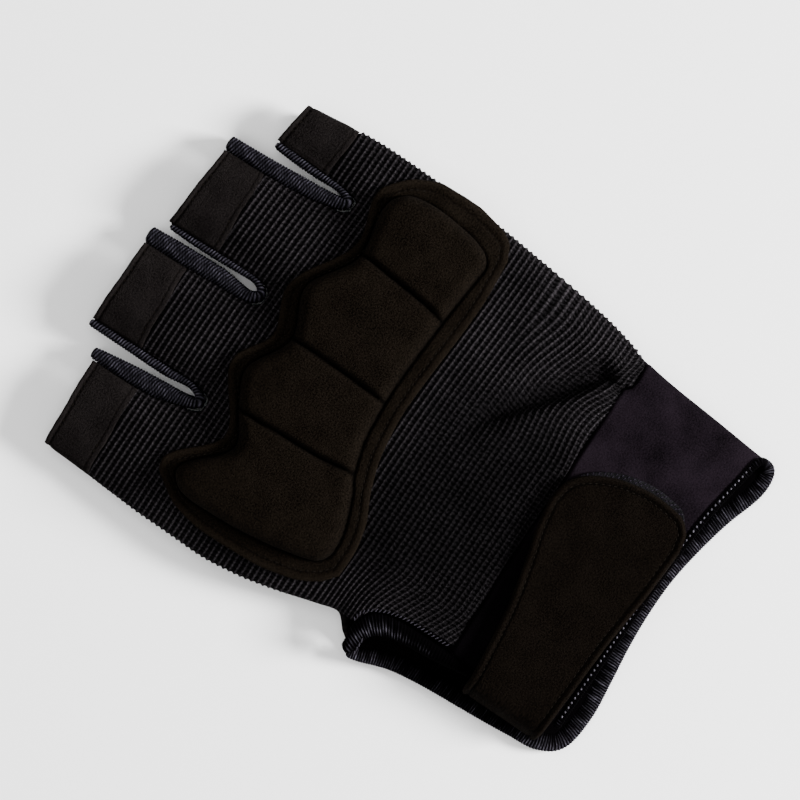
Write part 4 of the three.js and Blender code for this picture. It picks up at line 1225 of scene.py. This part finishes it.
def edge_binding():
    path = binding_path()
    x, y, z, half = path.T[..., None]
    reach, dull = uneven_threads(len(path), 5)
    inward = np.cos(2 * np.pi * np.arange(RIM_SIDES) / RIM_SIDES)[None, :] + 0.9 * reach
    # Painted shade on the binding: darker over the back, towards its inner side and below the thumb; dull
    # adds random tone to each ridge.
    over_back = 0.42 * smooth(z, 4.6, 6.4)
    below_thumb = 0.3 * smooth(-y, 20, 36) * (1 - smooth(-y, 62, 72)) * (x < -40)
    shade_and_tone = over_back + 0.6 * smooth(inward, -0.2, 1.5) + 0.25 * dull + below_thumb
    depth = np.full(len(path), RIM_THICKNESS / 2)
    ridges = {"pitch": RIM_RIDGE, "ridge": 0.16, "lean": 0.16, "sides": RIM_SIDES, "power": 2.8}
    return roll("edge_binding", path[:, :3], half[:, 0], depth, shade_and_tone=shade_and_tone, **ridges)


finish_piece(edge_binding(), "overlock_thread", "cuff_binding")
mouth_x = np.arange(SLIT_EDGE_X + 2.5, 42, 0.5)
mouth_row = lift_line(np.stack([mouth_x, read(BACK_MOUTH, mouth_x) + BEADS_IN], axis=1), 0.62)
stitch_row("mouth_stitches", [mouth_row], pitch=1.42, size=(0.66, 0.52, 0.46), look="bead_thread", lean=0.5)

# %% [markdown]
# ## The thumb hole's rim
# The same overlock thread runs round the back of the thumb hole as a flat band, with its ridges
# pointing into the hole.

# %% Build the thumb rim
THUMB_RIDGE, THUMB_THICKNESS, THUMB_STAND = 0.9, 1.8, 0.3
THUMB_BAND = [
    (-53.8, -18.6, -55.2, -21.2),
    (-48.6, -17.8, -50.6, -22.4),
    (-44.6, -19.0, -47.9, -23.6),
    (-41.8, -22.3, -46.2, -26.2),
    (-40.6, -27.5, -45.2, -30.2),
    (-40.3, -35.0, -44.6, -36.6),
    (-40.4, -43.8, -43.6, -44.4),
    (-40.6, -49.6, -42.8, -49.8),
]


def thumb_band():
    gone, path = smooth_path(THUMB_BAND, THUMB_RIDGE / ROWS_PER_RIDGE)
    share = eased(17, 0.8)[None, :]
    x = blend(path[:, :1], path[:, 2:3], share)
    y = blend(path[:, 1:2], path[:, 3:4], share)
    wave = np.cos(2 * np.pi * (gone[:, None] / THUMB_RIDGE + 0.45 * share))
    relief = 0.09 * (wave - 1) + 0.4 * np.sin(np.pi * share)
    reach, dull = uneven_threads(len(gone), 8)
    strip = 1 - bell(share, 0.55 + 0.2 * reach, 0.22)
    # Painted shade: the band goes dark towards the wrist. strip makes it darker towards its edges, and dull
    # adds random tone to each ridge.
    painted_shade_below = 0.4 * smooth(-y, 25, 35) + smooth(-y, 37, 43)
    valley = np.clip((1 - wave) / 2 + 0.6 * strip + 0.3 * dull + painted_shade_below, 0, 1)
    uv = np.stack([gone[:, None] + 0 * x, share * 5 + 0 * x], axis=-1)
    marks = {"valley": valley}
    return cloth("thumb_band", on_back(x, y), THUMB_THICKNESS, THUMB_STAND, relief, None, uv, marks)


finish_piece(thumb_band(), "overlock_thread", "thumb_rim")
thumb_top = [(-46.9, -17.5), (-43.9, -18.3), (-41.3, -21.4)]
thumb_stops = thumb_top + [(-39.7, -26.0), (-39.1, -31.0), (-38.9, -40.5)]
thumb_row = lift_line(smooth_path(thumb_stops, 0.5)[1], 0.22)
tack_row = lift_line(np.array([(-54.2, -22.4), (-49.8, -22.1)]), 0.5)
stitch_row("thumb_tack", [tack_row], pitch=1.35, size=(1.5, 0.45, 0.4), look="seam_thread", lean=0.25)
stitch_row("thumb_stitches", [thumb_row], pitch=1.05, size=(1.2, 0.34, 0.3), look="seam_thread", lean=0.9)

# %% [markdown]
# ## The loop patch and the wrist strap
# The strap lies over a slightly larger patch of loop pile. Both are laid sheets: rows between a
# lower and an upper edge, with the round end from a short table. The strap's suede is turned under
# all round, so it has a thick rim and a sewn groove inside it.

# %% Build the loop patch and the strap
STRAP_TOP = table(
    "x y",
    (-48, -50.2), (-38, -49.2), (-28, -48.0), (-20, -46.7), (-10, -44.3), (0, -41.7),
    (6, -40.9), (21, -40.9),
)
STRAP_BOTTOM = table("x y", (-48, -72.2), (-32, -72.8), (-17.5, -73.4), (0, -74.9), (21, -75.8))
STRAP_END = table(
    "v x",
    (0.0, 12.5), (0.04, 17.2), (0.16, 20.3), (0.38, 21.0), (0.6, 19.9), (0.78, 17.5),
    (0.91, 14.4), (0.975, 11.2), (1.0, 7.0),
)
STRAP_LEFT, LOOP_LEFT, STRAP_TURN = -46.8, -22.0, -41.2
LOOP_PROUD, LOOP_INSET = 1.7, 1.5
LOOP_THICKNESS, STRAP_THICKNESS = 0.9, 2.0
TURN_IN, TURN_HEIGHT = 2.0, 2.4
STRAP_STAND = 2 * SEAM_GAP + LOOP_THICKNESS + STRAP_THICKNESS
STRAP_STITCH_IN = 2.0


def laid_point(left, end_grow, inset_by, u, v):
    x = blend(left, read(STRAP_END, v, "x") + end_grow, u)
    low = read(STRAP_BOTTOM, x) + inset_by
    high = read(STRAP_TOP, x) - inset_by
    return x, blend(low, high, v)


def loop_patch():
    x, y = laid_point(LOOP_LEFT, LOOP_PROUD, LOOP_INSET, eased(90, 0.5)[None, :], eased(66, 0.8)[:, None])
    tufts = 0.12 * np.sin(x * 5.1 + np.sin(y * 3)) * np.sin(y * 4.7 + np.sin(x * 2))
    return cloth("loop_patch", on_back(x, y), LOOP_THICKNESS, SEAM_GAP + LOOP_THICKNESS, tufts)


def strap_tab():
    x, y = laid_point(STRAP_LEFT, 0.0, 0.0, eased(160, 0.5)[None, :], eased(84, 0.8)[:, None])
    edge = rim_reach(x, y, left_too=False)
    turn = np.clip((STRAP_TURN - x) / (STRAP_TURN - STRAP_LEFT), 0, 1)
    base = on_back(np.maximum(x, STRAP_TURN), y)
    base[..., 0] -= TURN_IN * np.sin(turn * np.pi / 2)
    base[..., 2] -= (base[..., 2] - TURN_HEIGHT) * (1 - np.cos(turn * np.pi / 2))
    bead = 0.3 * (1 - smooth(edge, 0.9, 1.7))
    groove = bell(edge, STRAP_STITCH_IN, 0.3)
    crease = 0.22 * np.sin((x + 46) / 8.5) * np.sin((y + 60) / 9)
    uv = np.stack([x, y], axis=-1)
    # Painted shade in the sewn groove, and a painted highlight that also stands for wear on the rim.
    marks = {"groove": 0.7 * groove, "rim": 0.6 * bell(edge, 0.5, 0.4)}
    relief = bead - 0.32 * groove + crease
    return cloth("strap_tab", base, STRAP_THICKNESS, STRAP_STAND, relief, None, uv, marks)


loop = finish_piece(loop_patch(), "loop_pile", "strap_loop")
strap = finish_piece(strap_tab(), "knuckle_suede", "wrist_strap", look="strap_suede")

# %% [markdown]
# The strap is topstitched close to its edge, and two rows of loose stitches hold the loop patch to
# the cuff. Both seams follow the outline of their own cloth, moved inwards, so they always fit it.

# %% Sew the strap and the loop patch
def end_line(left, grow, inset_by):
    long, short = np.linspace(0, 1, 700), np.linspace(0, 1, 500)
    point_at = lambda u, v: laid_point(left, grow, inset_by, u, v)
    return border(point_at, (long, 0 * long), (1 + 0 * short, short), (long[::-1], 1 + 0 * long))


strap_line = inset(end_line(STRAP_TURN, 0.0, 0.0), STRAP_STITCH_IN)
strap_row = lift_line(strap_line, STRAP_STAND - 0.14)
stitch_row("strap_stitches", [strap_row], pitch=1.6, size=(1.0, 0.28, 0.22), look="sewing_thread")
loop_edge = end_line(LOOP_LEFT, LOOP_PROUD, LOOP_INSET)
loop_rows = []
for depth in (0.4, 1.05):
    line = inset(loop_edge, depth)
    line = line[line[:, 0] > 12]
    loop_rows.append(lift_line(line, SEAM_GAP + LOOP_THICKNESS + 0.05))
stitch_row("loop_stitches", loop_rows, pitch=1.5, size=(0.85, 0.34, 0.28), look="loop_thread", lean=0.9)

# %% [markdown]
# ## Floor, light and camera
# The glove lies on a plain white table under soft light. The main light comes from low on the
# right, where the little-finger side is, so the ribs and the pads cast short soft shadows.
# The camera looks straight down, turned so that the fingers point to the upper left.

# %% The table
bpy.ops.object.select_all(action="DESELECT")
bpy.ops.mesh.primitive_plane_add(size=6.0, location=(0, 0, -0.0002))
floor = bpy.context.object
floor.name = "table_top"
bpy.ops.object.transform_apply(location=True, rotation=True, scale=True)
white = Finish("table_white", 0.9, 0.0)
grain = white.noise(white.node("ShaderNodeTexCoord").node.outputs["Object"], 40.0)
floor.data.materials.append(white.done(white.mix(grain, (0.93, 0.93, 0.93), (0.95, 0.95, 0.95))))
floor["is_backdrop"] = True

# %% Lights
SKY_STRENGTH = 0.62


def soft_light(name, place, size, power):
    lamp = bpy.data.lights.new(name, "AREA")
    lamp.shape = "SQUARE"
    lamp.size = size
    lamp.energy = power
    holder = bpy.data.objects.new(name, lamp)
    bpy.context.scene.collection.objects.link(holder)
    holder.location = place
    holder.rotation_euler = (-Vector(place)).to_track_quat("-Z", "Y").to_euler()


soft_light("key_light", (0.62, -0.95, 0.62), 0.4, 84)
soft_light("top_light", (-0.1, 0.3, 1.6), 1.6, 24)
world = bpy.context.scene.world or bpy.data.worlds.new("studio")
bpy.context.scene.world = world
world.use_nodes = True
sky = world.node_tree.nodes["Background"].inputs
sky["Color"].default_value = (1, 1, 1, 1)
sky["Strength"].default_value = SKY_STRENGTH
print("lights: two lamps and an even sky of", SKY_STRENGTH)

# %% The camera
VIEW_CENTRE = np.array([4.83, 6.44, 8.0]) * MM
CAMERA_HEIGHT = 1.2
VIEW_WIDTH = 0.2
SENSOR = 36.0
FINGERS_POINT = 0.8290, 0.5592
camera_data = bpy.data.cameras.new("camera")
camera_data.sensor_width = SENSOR
camera_data.lens = SENSOR * CAMERA_HEIGHT / VIEW_WIDTH
camera = bpy.data.objects.new("camera", camera_data)
bpy.context.scene.collection.objects.link(camera)
camera.location = (VIEW_CENTRE[0], VIEW_CENTRE[1], VIEW_CENTRE[2] + CAMERA_HEIGHT)
camera.rotation_euler = (0, 0, -np.arctan2(*FINGERS_POINT))
bpy.context.scene.camera = camera
print("camera", CAMERA_HEIGHT, "m above the glove, lens", round(camera_data.lens), "mm")

# %% Sizes, for comparing the two boxes
as_lists = lambda box: [[float(part) for part in corner] for corner in box]
{"cad": as_lists(cad_box), "visual": as_lists(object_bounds())}
